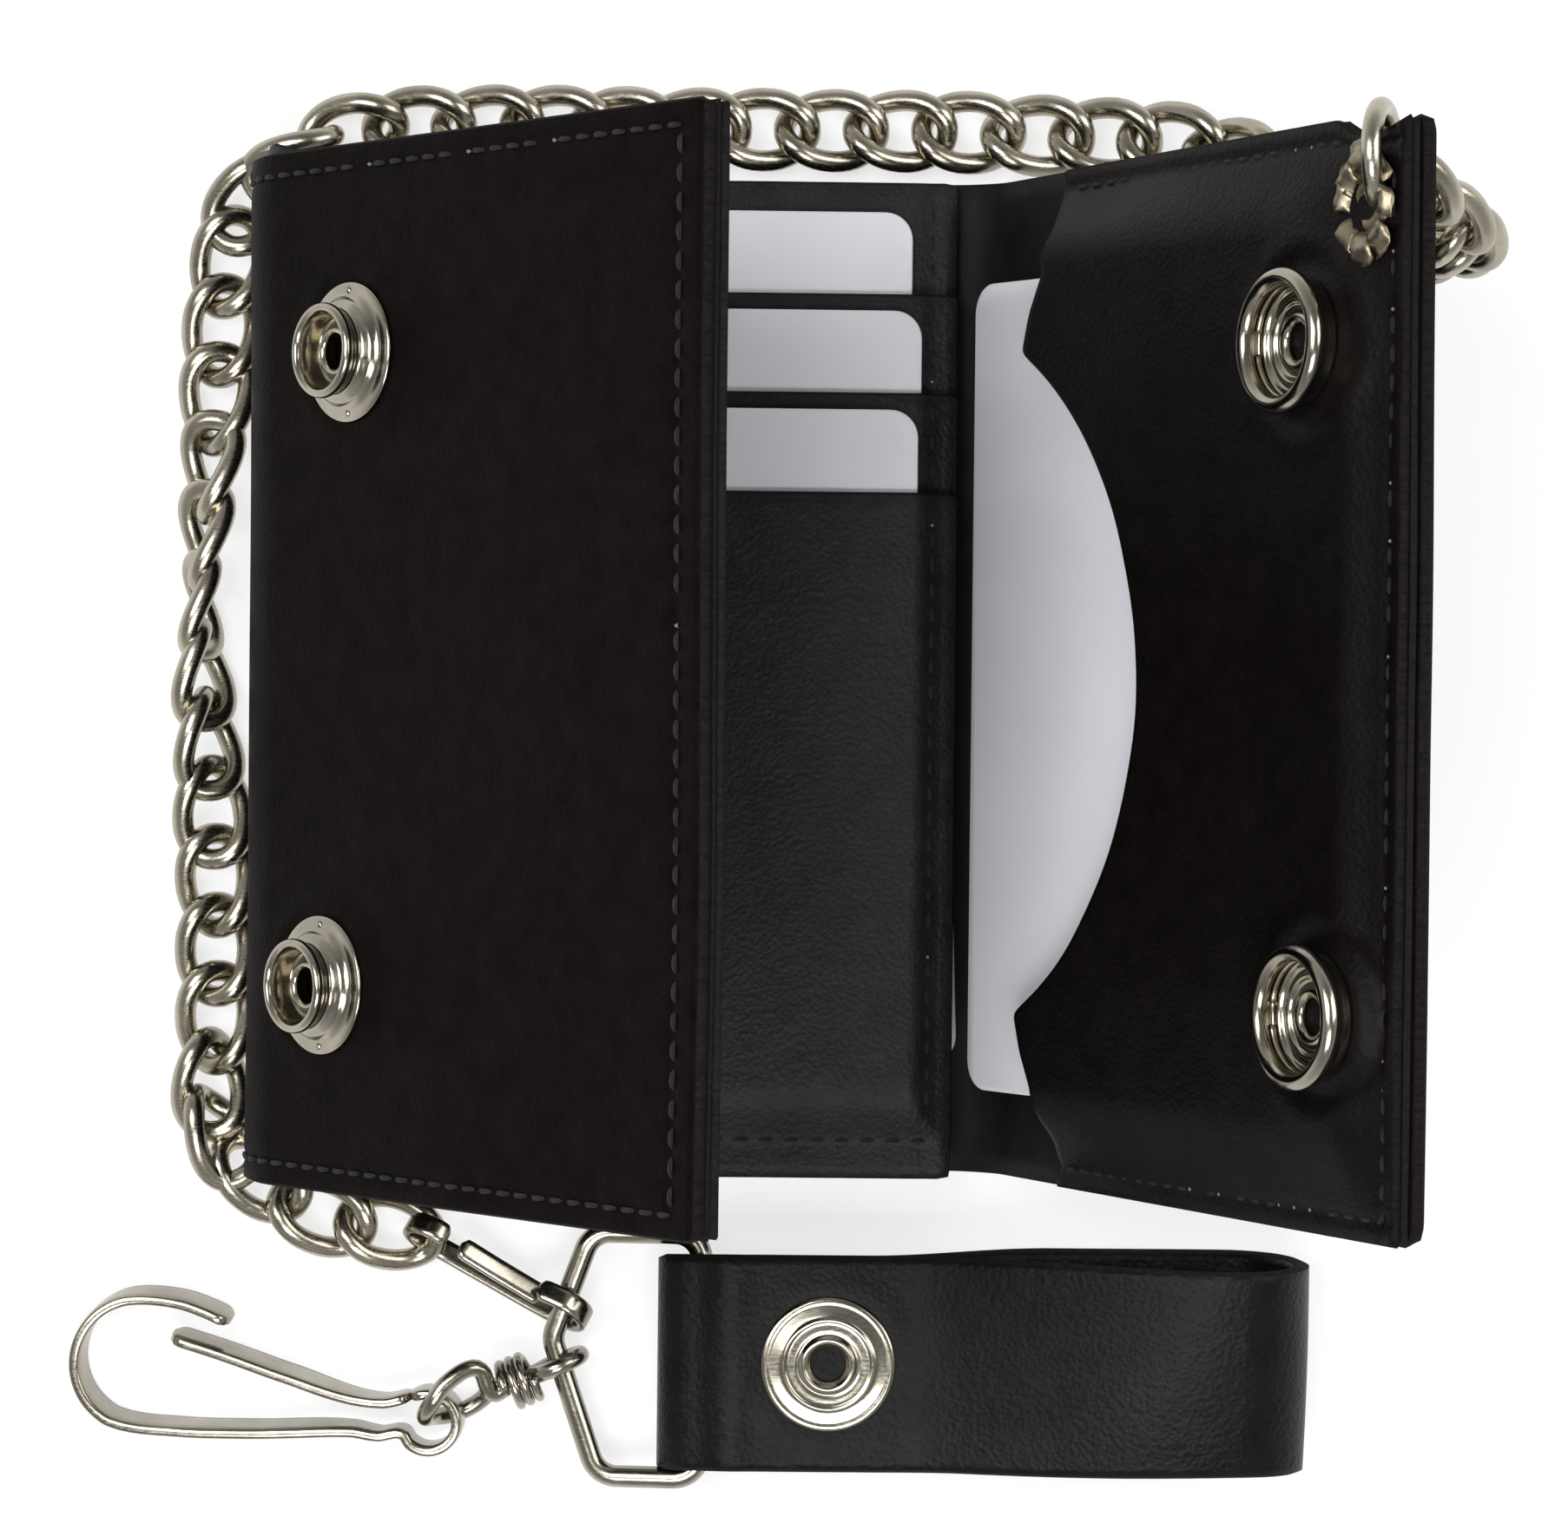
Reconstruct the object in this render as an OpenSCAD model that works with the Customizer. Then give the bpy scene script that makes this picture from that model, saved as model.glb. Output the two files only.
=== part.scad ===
// Trifold leather chain wallet, half open on its back, with a curb chain, a belt clip,
// a ring, a snap belt loop and a key clip. Millimetres, +Z up, the back cover on Z = 0.

/* [Wallet] */
// Height of the leather panels, along the folds
wallet_h = 108; // [98:1:120]
// Width of the wallet across the two folds
closed_w = 84; // [80:1:96]
// Length of the left flap past its fold
left_len = 68; // [56:1:69]
// Length of the right flap past its window card
right_margin = 18.2; // [14:0.2:30]
// Slope of the left flap above the table
left_angle = 50; // [44:1:66]
// Slope of the right flap above the table
right_angle = 64; // [54:1:72]
// Outer radius of the left fold
left_fold_r = 15; // [13:0.5:17]
// Outer radius of the right fold
right_fold_r = 10; // [9:0.5:12]

/* [Leather] */
// Thickness of the outer cover
cover_t = 1.4; // [1:0.1:2]
// Thickness of the lining that closes the bill pocket
lining_t = 0.6; // [0.4:0.1:1]
// Thickness of the pocket leather
pocket_t = 0.95; // [0.6:0.05:1.3]
// Thickness of the backing under the card slots
backing_t = 1.8; // [1.2:0.1:2.2]
// Height of the empty bill pocket
bill_gap = 0.9; // [0.5:0.1:1.5]
// Air between one layer and the next
layer_gap = 0.25; // [0.2:0.05:0.4]
// Width of the hem that joins the lining to the cover
hem_w = 3; // [2:0.5:5]

/* [Pockets] */
// Left edge of the card slots, from the middle of the wallet
slot_left = -28; // [-29:0.5:-26]
// Right edge of the card slots, from the middle of the wallet
slot_right = 33.5; // [31:0.5:34]
// Mouth of the top slot, below the top edge
slot_mouth = 12.6; // [11:0.1:16]
// Step from one slot mouth to the next
slot_step = 10.8; // [9.5:0.1:13]
// Free edge of the window pocket, past the right fold
window_edge = 15; // [12:0.5:20]
// Depth of its thumb cut
thumb_depth = 19; // [12:0.5:24]
// Radius of its thumb cut
thumb_r = 40; // [30:1:50]

/* [Cards] */
// Short side of a card
card_w = 54; // [50:0.5:55]
// Long side of a full card
card_h = 85.6; // [80:0.2:88]
// Length of the short slot inserts
insert_h = 70; // [50:1:70]
// Thickness of a card
card_t = 0.8; // [0.5:0.1:1]
// Corner radius of a card
card_r = 3; // [1:0.5:4]
// Length of card that stands out of a slot
card_show = 8.9; // [6:0.1:9.4]
// How far the lower edge of the window card stands off its flap
card_lift = 6.4; // [4:0.2:8]

/* [Snaps] */
// Radius of the stud flange
snap_r = 7.2; // [6.5:0.1:8]
// Radius of the bore through each snap
snap_bore_r = 1.75; // [1.4:0.05:2]
// Wall of the posts that pass through the leather
post_wall = 0.45; // [0.3:0.05:0.6]
// Height of a stud above the leather
stud_h = 3.5; // [3:0.1:4.2]
// Distance between the two snaps
snap_spacing = 65; // [55:1:72]
// Slant of the pair of snaps to the edge
snap_skew = 4; // [0:0.5:5]
// Middle of the studs, past the left fold
stud_s = 11; // [10.5:0.5:16]
// Middle of the sockets, in from the right flap's free edge
socket_edge = 13; // [12:0.5:16]

/* [Chain] */
// Distance from one link to the next
link_pitch = 7.5; // [7:0.1:8.5]
// Wire diameter of a link
link_wire = 2.1; // [1.8:0.1:2.2]
// Outer width of a link
link_w = 9.1; // [8.5:0.1:10]
// Play between two linked wires
link_play = 1; // [0.8:0.1:1.2]
// Roll of each link to either side
link_roll = 33; // [31:1:38]
// Eyelet, in from the right flap's free edge
eyelet_edge = 6.4; // [6:0.2:8]
// Eyelet, down from the top edge
eyelet_top = 9; // [8:0.5:11]
// Wire diameter of the ring in the eyelet
end_ring_wire = 1.7; // [1.4:0.1:2]

/* [Ring and strap] */
// Wire diameter of the strap ring
ring_wire = 2.4; // [2:0.1:2.8]
// Length of the ring's straight side, wire to wire
ring_h = 26.6; // [26:0.2:30]
// Distance from the straight side to the point of the ring
ring_d = 16.4; // [15:0.2:19]
// Width of the belt strap
strap_w = 23.4; // [20:0.2:23.6]
// Thickness of the belt strap
strap_t = 1.8; // [1.4:0.1:2.2]
// Distance from the ring to the far bend of the strap
strap_reach = 57.6; // [50:0.2:66]
// Radius of the far bend
strap_bend_r = 8; // [7:0.2:9]
// Distance from the ring to the strap's snap
strap_snap_x = 13.6; // [13:0.2:18]

/* [Clips] */
// Thickness of the strip that the clips are bent from
clip_t = 1.5; // [1.2:0.1:1.7]
// Width of the key clip's strip
key_clip_w = 4.2; // [3.5:0.1:5]
// Length of the key clip from its eye to the end of its hook
key_clip_len = 38.4; // [34:0.2:44]
// Width of the belt clip's strip
belt_clip_w = 2.4; // [2:0.1:2.8]
// Wire diameter of the swivel eye
eye_wire = 1.9; // [1.6:0.1:2]
// Turns of wire wrapped round the swivel's neck
wrap_turns = 3; // [2:1:4]
// Wire diameter of the wrap
wrap_wire = 0.65; // [0.5:0.05:0.7]

/* [Hidden] */
$fn = 48;
eps = 0.01;

leather = "#231f1e";
inner_leather = "#2b2b2a";
nickel = "#b9b4a6";
card_white = "#e4e4e8";

// Clearance between parts that move past each other
run_gap = 0.35;
half_h = wallet_h / 2;
half_w = closed_w / 2;
left_x = -half_w + left_fold_r;
right_x = half_w - right_fold_r;

// The right flap is as long as the window card that it carries and the margin for its snaps
window_card_s = 5.8;
right_len = window_card_s + card_w + right_margin;

// Heights of the layers on the middle panel, from the table up
lining_z = cover_t + bill_gap;
spare_z = lining_z + lining_t + layer_gap;
backing_z = spare_z + card_t + layer_gap;
chain_height = (link_w - link_wire) * sin(link_roll) + link_wire;
slot_z = max(backing_z + backing_t + layer_gap, chain_height + run_gap);
slot_rise = card_t + pocket_t + 2 * layer_gap;
function mouth_y(k) = half_h - slot_mouth - k * slot_step;
function insert_z(k) = slot_z + k * slot_rise;
function pocket_z(k) = insert_z(k) + card_t + layer_gap;
insert_right = slot_right - 4.3;
spare_right = slot_right + 0.3;

// Depths of the layers on the flaps, from the outer face in
flap_lining_n = cover_t + layer_gap;
flap_inner_n = flap_lining_n + lining_t + layer_gap;
left_depth = flap_inner_n + pocket_t;

// Snap posts and the holes they pass through
post_r = snap_bore_r + post_wall;
post_hole_r = post_r + 0.2;
flange_t = 0.7;
function stud_at(k) = [stud_s + k * snap_skew / 2, k * snap_spacing / 2];
function socket_at(k) = [right_len - socket_edge - k * snap_skew / 2, k * snap_spacing / 2];

// The window card leans off the right flap, and the pocket lies over it
window_lean = asin(card_lift / card_w);
window_card_n = flap_inner_n + card_lift;
window_seat_n = flap_inner_n + card_t + layer_gap + 1;
edge_seat_n = flap_inner_n + pocket_t / 2;
eyelet_s = right_len - eyelet_edge;
eyelet_y = half_h - eyelet_top;
eyelet_bore_r = end_ring_wire / 2 + 1.4;
eyelet_r = eyelet_bore_r + 0.5;
window_face_n = window_seat_n + pocket_t;
end_ring_r = (eyelet_top + 3.6) / 2;
end_ring_n = window_face_n / 2;

// Curves
function polar(r, a) = [r * cos(a), r * sin(a)];
function unit(v) = v / norm(v);
function arc(c, r, a0, a1, n) = [for (i = [0:n]) c + polar(r, a0 + (a1 - a0) * i / n)];
function bend_way(p, i) = i == 0 ? unit(p[1] - p[0]) : i == len(p) - 1 ? unit(p[i] - p[i - 1])
    : unit(unit(p[i + 1] - p[i]) + unit(p[i] - p[i - 1]));
function eased(a, b, u, v, t) = (2 * t * t * t - 3 * t * t + 1) * a + (3 * t * t - 2 * t * t * t) * b
    + norm(b - a) * ((t * t * t - 2 * t * t + t) * u + (t * t * t - t * t) * v);
function smooth(p, n) = concat(
    [for (i = [0:len(p) - 2], j = [0:n - 1]) eased(p[i], p[i + 1], bend_way(p, i), bend_way(p, i + 1), j / n)],
    [p[len(p) - 1]]);
function heading(p, i) = unit(p[min(i + 1, len(p) - 1)] - p[max(i - 1, 0)]);
function side_of(p, i, d) = p[i] + d * [-heading(p, i)[1], heading(p, i)[0]];
function thick(p, t) = concat(
    [for (i = [0:len(p) - 1]) side_of(p, i, t / 2)],
    [for (i = [len(p) - 1:-1:0]) side_of(p, i, -t / 2)]);
function run_lengths(p) =
    [for (i = 0, s = 0; i < len(p); s = s + norm(p[min(i + 1, len(p) - 1)] - p[i]), i = i + 1) s];
function along(p, runs, s) =
    [for (k = [0:2]) lookup(s, [for (i = [0:len(p) - 1]) [runs[i], p[i][k]]])];

// Normals carried along a curve without twist, for sweeping a round wire
function square_to(v, t) = unit(v - (v * t) * t);
function normals(p, first) =
    [for (i = 0, n = square_to(first, heading(p, 0)); i < len(p);
        i = i + 1, n = i < len(p) ? square_to(n, heading(p, i)) : n) n];

module strip(path, t, w)
    linear_extrude(w) polygon(thick(path, t));

module wire(path, r, sides, first) {
    ns = normals(path, first);
    last = len(path) - 1;
    rings = [for (i = [0:last], k = [0:sides - 1])
        path[i] + r * (cos(360 * k / sides) * ns[i] + sin(360 * k / sides) * cross(heading(path, i), ns[i]))];
    walls = [for (i = [0:last - 1], k = [0:sides - 1])
        let (a = i * sides + k, b = i * sides + (k + 1) % sides)
        each [[a, a + sides, b + sides], [a, b + sides, b]]];
    ends = [for (k = [1:sides - 2])
        each [[0, k, k + 1], [last * sides, last * sides + k + 1, last * sides + k]]];
    polyhedron(rings, concat(walls, ends));
}

module slab(x0, x1, y0, y1, z0, t)
    translate([x0, y0, z0]) cube([x1 - x0, y1 - y0, t]);

module card(w, h)
    linear_extrude(card_t) hull()
        for (x = [card_r, w - card_r], y = [card_r, h - card_r]) translate([x, y]) circle(card_r, $fn = 32);

// Places a part on a flap: X runs from the fold to the free edge
left_base = [left_x - left_fold_r * sin(left_angle), 0, left_fold_r * (1 + cos(left_angle))];
right_base = [right_x + right_fold_r * sin(right_angle), 0, right_fold_r * (1 - cos(right_angle))];
module on_left_flap()
    translate(left_base) rotate([0, -left_angle, 0]) children();
module on_right_flap()
    translate(right_base) rotate([0, -right_angle, 0]) children();
function from_right_flap(p) = right_base
    + p[0] * [cos(right_angle), 0, sin(right_angle)]
    + p[1] * [0, 1, 0]
    + p[2] * [-sin(right_angle), 0, cos(right_angle)];

module fold_shell(x, axis_z, r_out, t, a0, sweep)
    translate([x, 0, axis_z]) rotate([90, 0, 0]) rotate([0, 0, a0])
        rotate_extrude(angle = sweep, $fn = 96) translate([r_out - t, -half_h]) square([t, wallet_h]);

module stud_holes(z0, t)
    for (k = [-1, 1]) translate([stud_at(k)[0], stud_at(k)[1], z0 - 1]) cylinder(h = t + 2, r = post_hole_r);
module socket_holes(z0, t)
    for (k = [-1, 1]) translate([socket_at(k)[0], socket_at(k)[1], z0 - 1]) cylinder(h = t + 2, r = post_hole_r);
module eyelet_hole(z0, t)
    translate([eyelet_s, eyelet_y, z0 - 1]) cylinder(h = t + 2, r = eyelet_r + 0.15);

// Leather cover
module outer_cover_middle()
    color(leather) slab(left_x, right_x, -half_h, half_h, 0, cover_t);
module outer_cover_left()
    color(leather) on_left_flap() difference() {
        slab(0, left_len, -half_h, half_h, -cover_t, cover_t);
        stud_holes(-cover_t, cover_t);
    }
module outer_cover_right()
    color(leather) on_right_flap() difference() {
        slab(0, right_len, -half_h, half_h, 0, cover_t);
        socket_holes(0, cover_t);
        eyelet_hole(0, cover_t);
    }
module left_fold()
    color(leather) fold_shell(left_x, left_fold_r, left_fold_r, cover_t, 90 + left_angle, 180 - left_angle);
module right_fold()
    color(leather) fold_shell(right_x, right_fold_r, right_fold_r, cover_t, -90, right_angle);

// Lining, hemmed to the cover along the bottom, open along the top for bills
module bill_lining_middle()
    color(inner_leather) {
        slab(left_x, right_x, -half_h, half_h, lining_z, lining_t);
        slab(left_x, right_x, -half_h, -half_h + hem_w, cover_t, bill_gap + eps);
    }
module bill_lining_left()
    color(inner_leather) on_left_flap() difference() {
        slab(0, left_len, -half_h, half_h, -flap_lining_n - lining_t, lining_t);
        stud_holes(-flap_lining_n - lining_t, lining_t);
    }
module bill_lining_right()
    color(inner_leather) on_right_flap() difference() {
        slab(0, right_len, -half_h, half_h, flap_lining_n, lining_t);
        socket_holes(flap_lining_n, lining_t);
        eyelet_hole(flap_lining_n, lining_t);
    }
module lining_fold_left()
    color(inner_leather)
        fold_shell(left_x, left_fold_r, left_fold_r - lining_z, lining_t, 90 + left_angle, 180 - left_angle);
module lining_fold_right()
    color(inner_leather)
        fold_shell(right_x, right_fold_r, right_fold_r - lining_z, lining_t, -90, right_angle);

// Card slots, stepped down the middle panel
module card_backing()
    color(inner_leather) slab(slot_left, slot_right, -half_h, half_h, backing_z, backing_t);
module slot_pocket(k)
    color(inner_leather) slab(slot_left, slot_right, -half_h, mouth_y(k), pocket_z(k), pocket_t);
module slot_pocket_top() slot_pocket(0);
module slot_pocket_middle() slot_pocket(1);
module slot_pocket_bottom() slot_pocket(2);
module slot_card(k)
    color(card_white) translate([insert_right - card_w, mouth_y(k) + card_show - insert_h, insert_z(k)])
        card(card_w, insert_h);
module card_top() slot_card(0);
module card_middle() slot_card(1);
module card_bottom() slot_card(2);
module spare_card()
    color(card_white) translate([spare_right - card_w, -card_h / 2 + 0.8, spare_z]) card(card_w, card_h);

// Plain pocket inside the left flap
module left_inner_pocket()
    color(inner_leather) on_left_flap() difference() {
        slab(stud_s + snap_r + 3, left_len, -half_h, half_h, -left_depth, pocket_t);
        stud_holes(-left_depth, pocket_t);
    }

// Window pocket of the right flap, with its half-round thumb cut
function window_lift(s) = card_lift - (s - window_card_s) * tan(window_lean);
window_bend_s = socket_at(1)[0] - snap_r;
window_path = [
    [window_edge, window_seat_n + window_lift(window_edge) + pocket_t / 2],
    [window_bend_s, window_seat_n + pocket_t / 2],
    [right_len - 3.6, window_seat_n + pocket_t / 2],
    [right_len - 2.2, edge_seat_n],
    [right_len - 0.3, edge_seat_n]];
module window_pocket()
    color(inner_leather) on_right_flap() difference() {
        translate([0, half_h, 0]) rotate([90, 0, 0]) strip(window_path, pocket_t, wallet_h);
        translate([window_edge + thumb_depth - thumb_r, 0, 0]) cylinder(h = 20, r = thumb_r, $fn = 96);
        socket_holes(0, window_seat_n + pocket_t);
        eyelet_hole(0, window_seat_n + pocket_t);
    }
module window_card()
    color(card_white) on_right_flap() translate([window_card_s, -card_h / 2 - 1, window_card_n])
        rotate([0, window_lean, 0]) card(card_w, card_h);

// Snaps
cup_r = snap_r * 0.54;
lip_r = snap_r * 0.68;
neck_r = snap_r * 0.6;
module stud_body()
    rotate_extrude() polygon([[snap_bore_r, 0], [snap_r, 0], [snap_r, 0.4], [lip_r + 0.5, flange_t],
        [lip_r, flange_t + 0.5], [neck_r, flange_t + 0.9], [neck_r, stud_h - 1.1], [lip_r, stud_h - 0.8],
        [lip_r, stud_h - 0.3], [lip_r - 0.3, stud_h], [cup_r, stud_h], [cup_r - 0.3, 1.2],
        [snap_bore_r, 1.2]]);
module post_body(length)
    rotate_extrude() polygon([[snap_bore_r, 0], [snap_bore_r, length + flange_t], [post_r, length + flange_t],
        [post_r, flange_t], [snap_r * 0.75, flange_t], [snap_r * 0.75, 0.3], [snap_r * 0.7, 0]]);
socket_cup_r = lip_r + run_gap;
socket_r = snap_r - 0.5;
socket_h = stud_h - flange_t + 0.4;
spring_wire = 0.7;
spring_z = stud_h - 2;
socket_groove_r = socket_cup_r + spring_wire;
module socket_body()
    rotate_extrude() polygon([[snap_bore_r, 0], [socket_r, 0], [socket_r, 0.8], [socket_r - 0.35, 1.2],
        [socket_r - 0.35, socket_h - 0.5], [socket_r - 0.7, socket_h], [socket_cup_r, socket_h],
        [socket_cup_r, spring_z + spring_wire / 2 + 0.1], [socket_groove_r, spring_z + spring_wire / 2 + 0.1],
        [socket_groove_r, spring_z - spring_wire / 2 - 0.1], [socket_cup_r, spring_z - spring_wire / 2 - 0.1],
        [socket_cup_r, 0.6], [snap_bore_r, 0.6]]);
module spring_body()
    translate([0, 0, spring_z]) rotate([0, 0, 12]) rotate_extrude(angle = 336)
        translate([socket_groove_r - spring_wire / 2 - 0.05, 0]) circle(d = spring_wire, $fn = 24);
cap_h = 2.4;
module cap_body(length)
    rotate_extrude() polygon(concat(
        [[0, length], [post_r, length], [post_r, 0], [snap_r, 0], [snap_r, -0.4]],
        [for (a = [0:15:75]) [snap_r * cos(a), -0.4 - (cap_h - 0.4) * sin(a)]],
        [[0, -cap_h]]));
module flap_studs()
    color(nickel) on_left_flap() for (k = [-1, 1]) translate(concat(stud_at(k), 0)) stud_body();
module stud_posts()
    color(nickel) on_left_flap() for (k = [-1, 1])
        translate(concat(stud_at(k), -flap_inner_n + layer_gap - flange_t))
            post_body(flap_inner_n - layer_gap);
module flap_sockets()
    color(nickel) on_right_flap() for (k = [-1, 1])
        translate(concat(socket_at(k), window_face_n)) socket_body();
module socket_springs()
    color(nickel) on_right_flap() for (k = [-1, 1])
        translate(concat(socket_at(k), window_face_n)) spring_body();
module snap_caps()
    color(nickel) on_right_flap() for (k = [-1, 1])
        translate(concat(socket_at(k), 0)) cap_body(window_face_n);

// Eyelet in the right flap and the ring that holds the chain
module chain_eyelet()
    color(nickel) on_right_flap() translate([eyelet_s, eyelet_y, 0]) rotate_extrude()
        polygon([[eyelet_bore_r, -0.6], [eyelet_r + 1, -0.6], [eyelet_r + 1, 0], [eyelet_r, 0],
            [eyelet_r, window_face_n], [eyelet_r + 0.8, window_face_n], [eyelet_r + 0.8, window_face_n + 0.5],
            [eyelet_bore_r, window_face_n + 0.5]]);
module end_ring()
    color(nickel) on_right_flap() translate([eyelet_s, eyelet_y + end_ring_r, end_ring_n])
        rotate([0, 90, 0]) rotate_extrude() translate([end_ring_r, 0]) circle(d = end_ring_wire, $fn = 24);

// Chain, laid from the belt clip round the wallet and up behind the right flap to the eyelet
chain_z = chain_height / 2;
ring_hang = from_right_flap([eyelet_s, eyelet_y + end_ring_r, end_ring_n - end_ring_r + 0.65]);
chain_top_y = half_h + 6.3;
chain_left_x = -half_w - 6.1;
chain_end_y = -half_h - 6.4;
clip_eye = [-23.4, -half_h - 6.8, chain_z];
chain_route = [
    clip_eye, [-half_w * 16 / 21, chain_end_y - 0.4, chain_z], [-half_w * 13 / 14, chain_end_y + 0.5, chain_z],
    [chain_left_x + 2.6, -half_h - 0.2, chain_z], [chain_left_x + 0.2, -half_h * 22 / 27, chain_z],
    [chain_left_x, -half_h * 5 / 9, chain_z], [chain_left_x, 0, chain_z],
    [chain_left_x + 0.1, half_h * 2 / 3, chain_z], [chain_left_x + 1.4, half_h * 8 / 9, chain_z],
    [-half_w + 2.4, half_h + 2.6, chain_z], [-half_w * 5 / 7, chain_top_y - 0.6, chain_z],
    [-half_w * 10 / 21, chain_top_y, chain_z], [0, chain_top_y, chain_z], [half_w * 11 / 21, chain_top_y, chain_z],
    [half_w * 5 / 6, chain_top_y, chain_z], [half_w + 2, half_h + 5.9, chain_z + 0.3],
    [half_w + 11, half_h + 5.2, chain_z + 2.2], ring_hang + [-11.5, 5.4, -60.5], ring_hang + [-5, 1, -54],
    ring_hang + [1, -3.4, -43], ring_hang + [5.6, -5.6, -31], ring_hang + [8.2, -5.6, -20],
    ring_hang + [7.6, -4.4, -12], ring_hang + [4.6, -2.4, -5.2], ring_hang];
chain_curve = smooth(chain_route, 10);
chain_up = normals(chain_curve, [0, 0, 1]);
chain_runs = run_lengths(chain_curve);
chain_length = chain_runs[len(chain_runs) - 1];
link_count = 2 * round(chain_length / link_pitch / 2);
link_step = chain_length / link_count;
link_len = link_step + 2 * link_wire + link_play;
end_links = 4;
corner_link = 18;
lead_links = 11;
roll_links = 8;
lead_roll = -58;
function link_joint(k) = along(chain_curve, chain_runs, k * link_step);
function link_up(k, d) = square_to(along(chain_up, chain_runs, (k + 0.5) * link_step), d);
function link_turn(k) = (k % 2 == 0 ? link_roll : -link_roll)
    + lead_roll * min(max((k - link_count + roll_links + 1) / 4, 0), 1);

module chain_link()
    for (m = [0, 1]) mirror([m, 0, 0]) {
        translate([link_len / 2 - link_w / 2, 0, 0]) rotate([0, 0, -90]) rotate_extrude(angle = 180)
            translate([(link_w - link_wire) / 2, 0]) circle(d = link_wire, $fn = 24);
        for (y = [-1, 1]) translate([0, y * (link_w - link_wire) / 2, 0]) rotate([0, 90, 0])
            cylinder(h = link_len / 2 - link_w / 2, d = link_wire, $fn = 24);
    }
module chain_part(first, last)
    color(nickel) for (k = [first:last]) {
        c = (link_joint(k) + link_joint(k + 1)) / 2;
        d = unit(link_joint(k + 1) - link_joint(k));
        u = link_up(k, d);
        v = cross(u, d);
        multmatrix([[d[0], v[0], u[0], c[0]], [d[1], v[1], u[1], c[1]], [d[2], v[2], u[2], c[2]]])
            rotate([link_turn(k), 0, 0]) chain_link();
    }
module chain_end() chain_part(0, end_links - 1);
module chain_left() chain_part(end_links, corner_link - 1);
module chain_top() chain_part(corner_link, link_count - lead_links - 1);
module chain_lead() chain_part(link_count - lead_links, link_count - 1);

// Ring: a bent wire pentagon whose straight side runs through the strap's fold
ring_x = 6.9;
ring_y = -half_h - 19.9;
ring_z = strap_t + 4.2;
ring_drop = 1.9;
ring_bend = 3;
ring_corners = [[0, -ring_h / 2], [0, ring_h / 2], [-ring_d * 0.74, ring_h / 2], [-ring_d, 1.6],
    [-ring_d * 0.69, -ring_h / 2]];
function corner_arc(p, i, bend, n) =
    let (m = len(p), a = unit(p[(i + m - 1) % m] - p[i]), b = unit(p[(i + 1) % m] - p[i]))
    let (half = acos(a * b) / 2, turn = atan2(b[1], b[0]) - 90)
    arc(p[i] + unit(a + b) * bend / sin(half), bend, turn - 180 + 2 * half, turn, n);
ring_path = [for (i = [0:len(ring_corners) - 1]) each corner_arc(ring_corners, i, ring_bend, 5)];
module closed_wire(path, r, sides) {
    n = len(path);
    rings = [for (i = [0:n - 1], k = [0:sides - 1])
        let (h = unit(path[(i + 1) % n] - path[(i + n - 1) % n]))
        concat(path[i] + r * cos(360 * k / sides) * [h[1], -h[0]], r * sin(360 * k / sides))];
    polyhedron(rings, [for (i = [0:n - 1], k = [0:sides - 1])
        let (a = i * sides, b = (i + 1) % n * sides, j = (k + 1) % sides)
        each [[a + k, a + j, b + j], [a + k, b + j, b + k]]]);
}
module strap_ring()
    color(nickel) translate([ring_x, ring_y, ring_z]) rotate([0, -asin(ring_drop / ring_d), 0])
        closed_wire(ring_path, ring_wire / 2, 12);

// Belt strap: folded round the ring, snapped to itself under the fold, open at the far bend
strap_fold_r = ring_wire / 2 + 1.8 + strap_t / 2;
tail_z = 1.6 + strap_t / 2;
socket_floor = 0.6;
return_z = tail_z + strap_t / 2 + socket_floor + run_gap + stud_h + strap_t / 2;
strap_top_z = return_z + strap_t + 0.3;
strap_bend_x = ring_x + strap_reach;
bend_z = tail_z + strap_bend_r;
strap_snap = ring_x + strap_snap_x;
strap_lap = snap_r + 1.5;
strap_flat = strap_snap - snap_r;
fold_low = ring_z - strap_fold_r;
strap_path = smooth(concat(
    [[strap_snap + strap_lap, return_z], [strap_flat, return_z], [strap_flat - 0.8, return_z],
        [strap_flat - 1.9, return_z - 0.7], [ring_x + 4.1, (return_z + fold_low) / 2 + 0.7],
        [ring_x + 3.2, fold_low + 1.7], [ring_x + 2, fold_low + 0.4]],
    arc([ring_x, ring_z], strap_fold_r, 270, 90, 6),
    [[ring_x + 3, strap_top_z + 0.4], [strap_flat - 0.8, strap_top_z], [strap_flat, strap_top_z],
        [strap_snap + snap_r, strap_top_z], [strap_snap + strap_lap, strap_top_z],
        [strap_snap + strap_lap + 3, strap_top_z + 0.5],
        [(strap_snap + strap_bend_x) / 2, strap_top_z + (bend_z + strap_bend_r - strap_top_z) * 0.5],
        [strap_bend_x - 9, bend_z + strap_bend_r - 0.7], [strap_bend_x, bend_z + strap_bend_r]]), 3);
module strap_profile(path)
    translate([0, ring_y + strap_w / 2, 0]) rotate([90, 0, 0]) strip(path, strap_t, strap_w);
module strap_snap_hole()
    translate([strap_snap, ring_y, -1]) cylinder(h = 30, r = post_hole_r);
module belt_strap()
    color(leather) difference() {
        strap_profile(strap_path);
        strap_snap_hole();
    }
module strap_bend()
    color(leather) translate([strap_bend_x, ring_y, bend_z]) rotate([90, 0, 0]) rotate([0, 0, -90])
        rotate_extrude(angle = 180) translate([strap_bend_r - strap_t / 2, -strap_w / 2]) square([strap_t, strap_w]);
module strap_tail()
    color(leather) difference() {
        slab(strap_snap - snap_r - 0.9, strap_bend_x, ring_y - strap_w / 2, ring_y + strap_w / 2,
            tail_z - strap_t / 2, strap_t);
        strap_snap_hole();
    }
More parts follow.
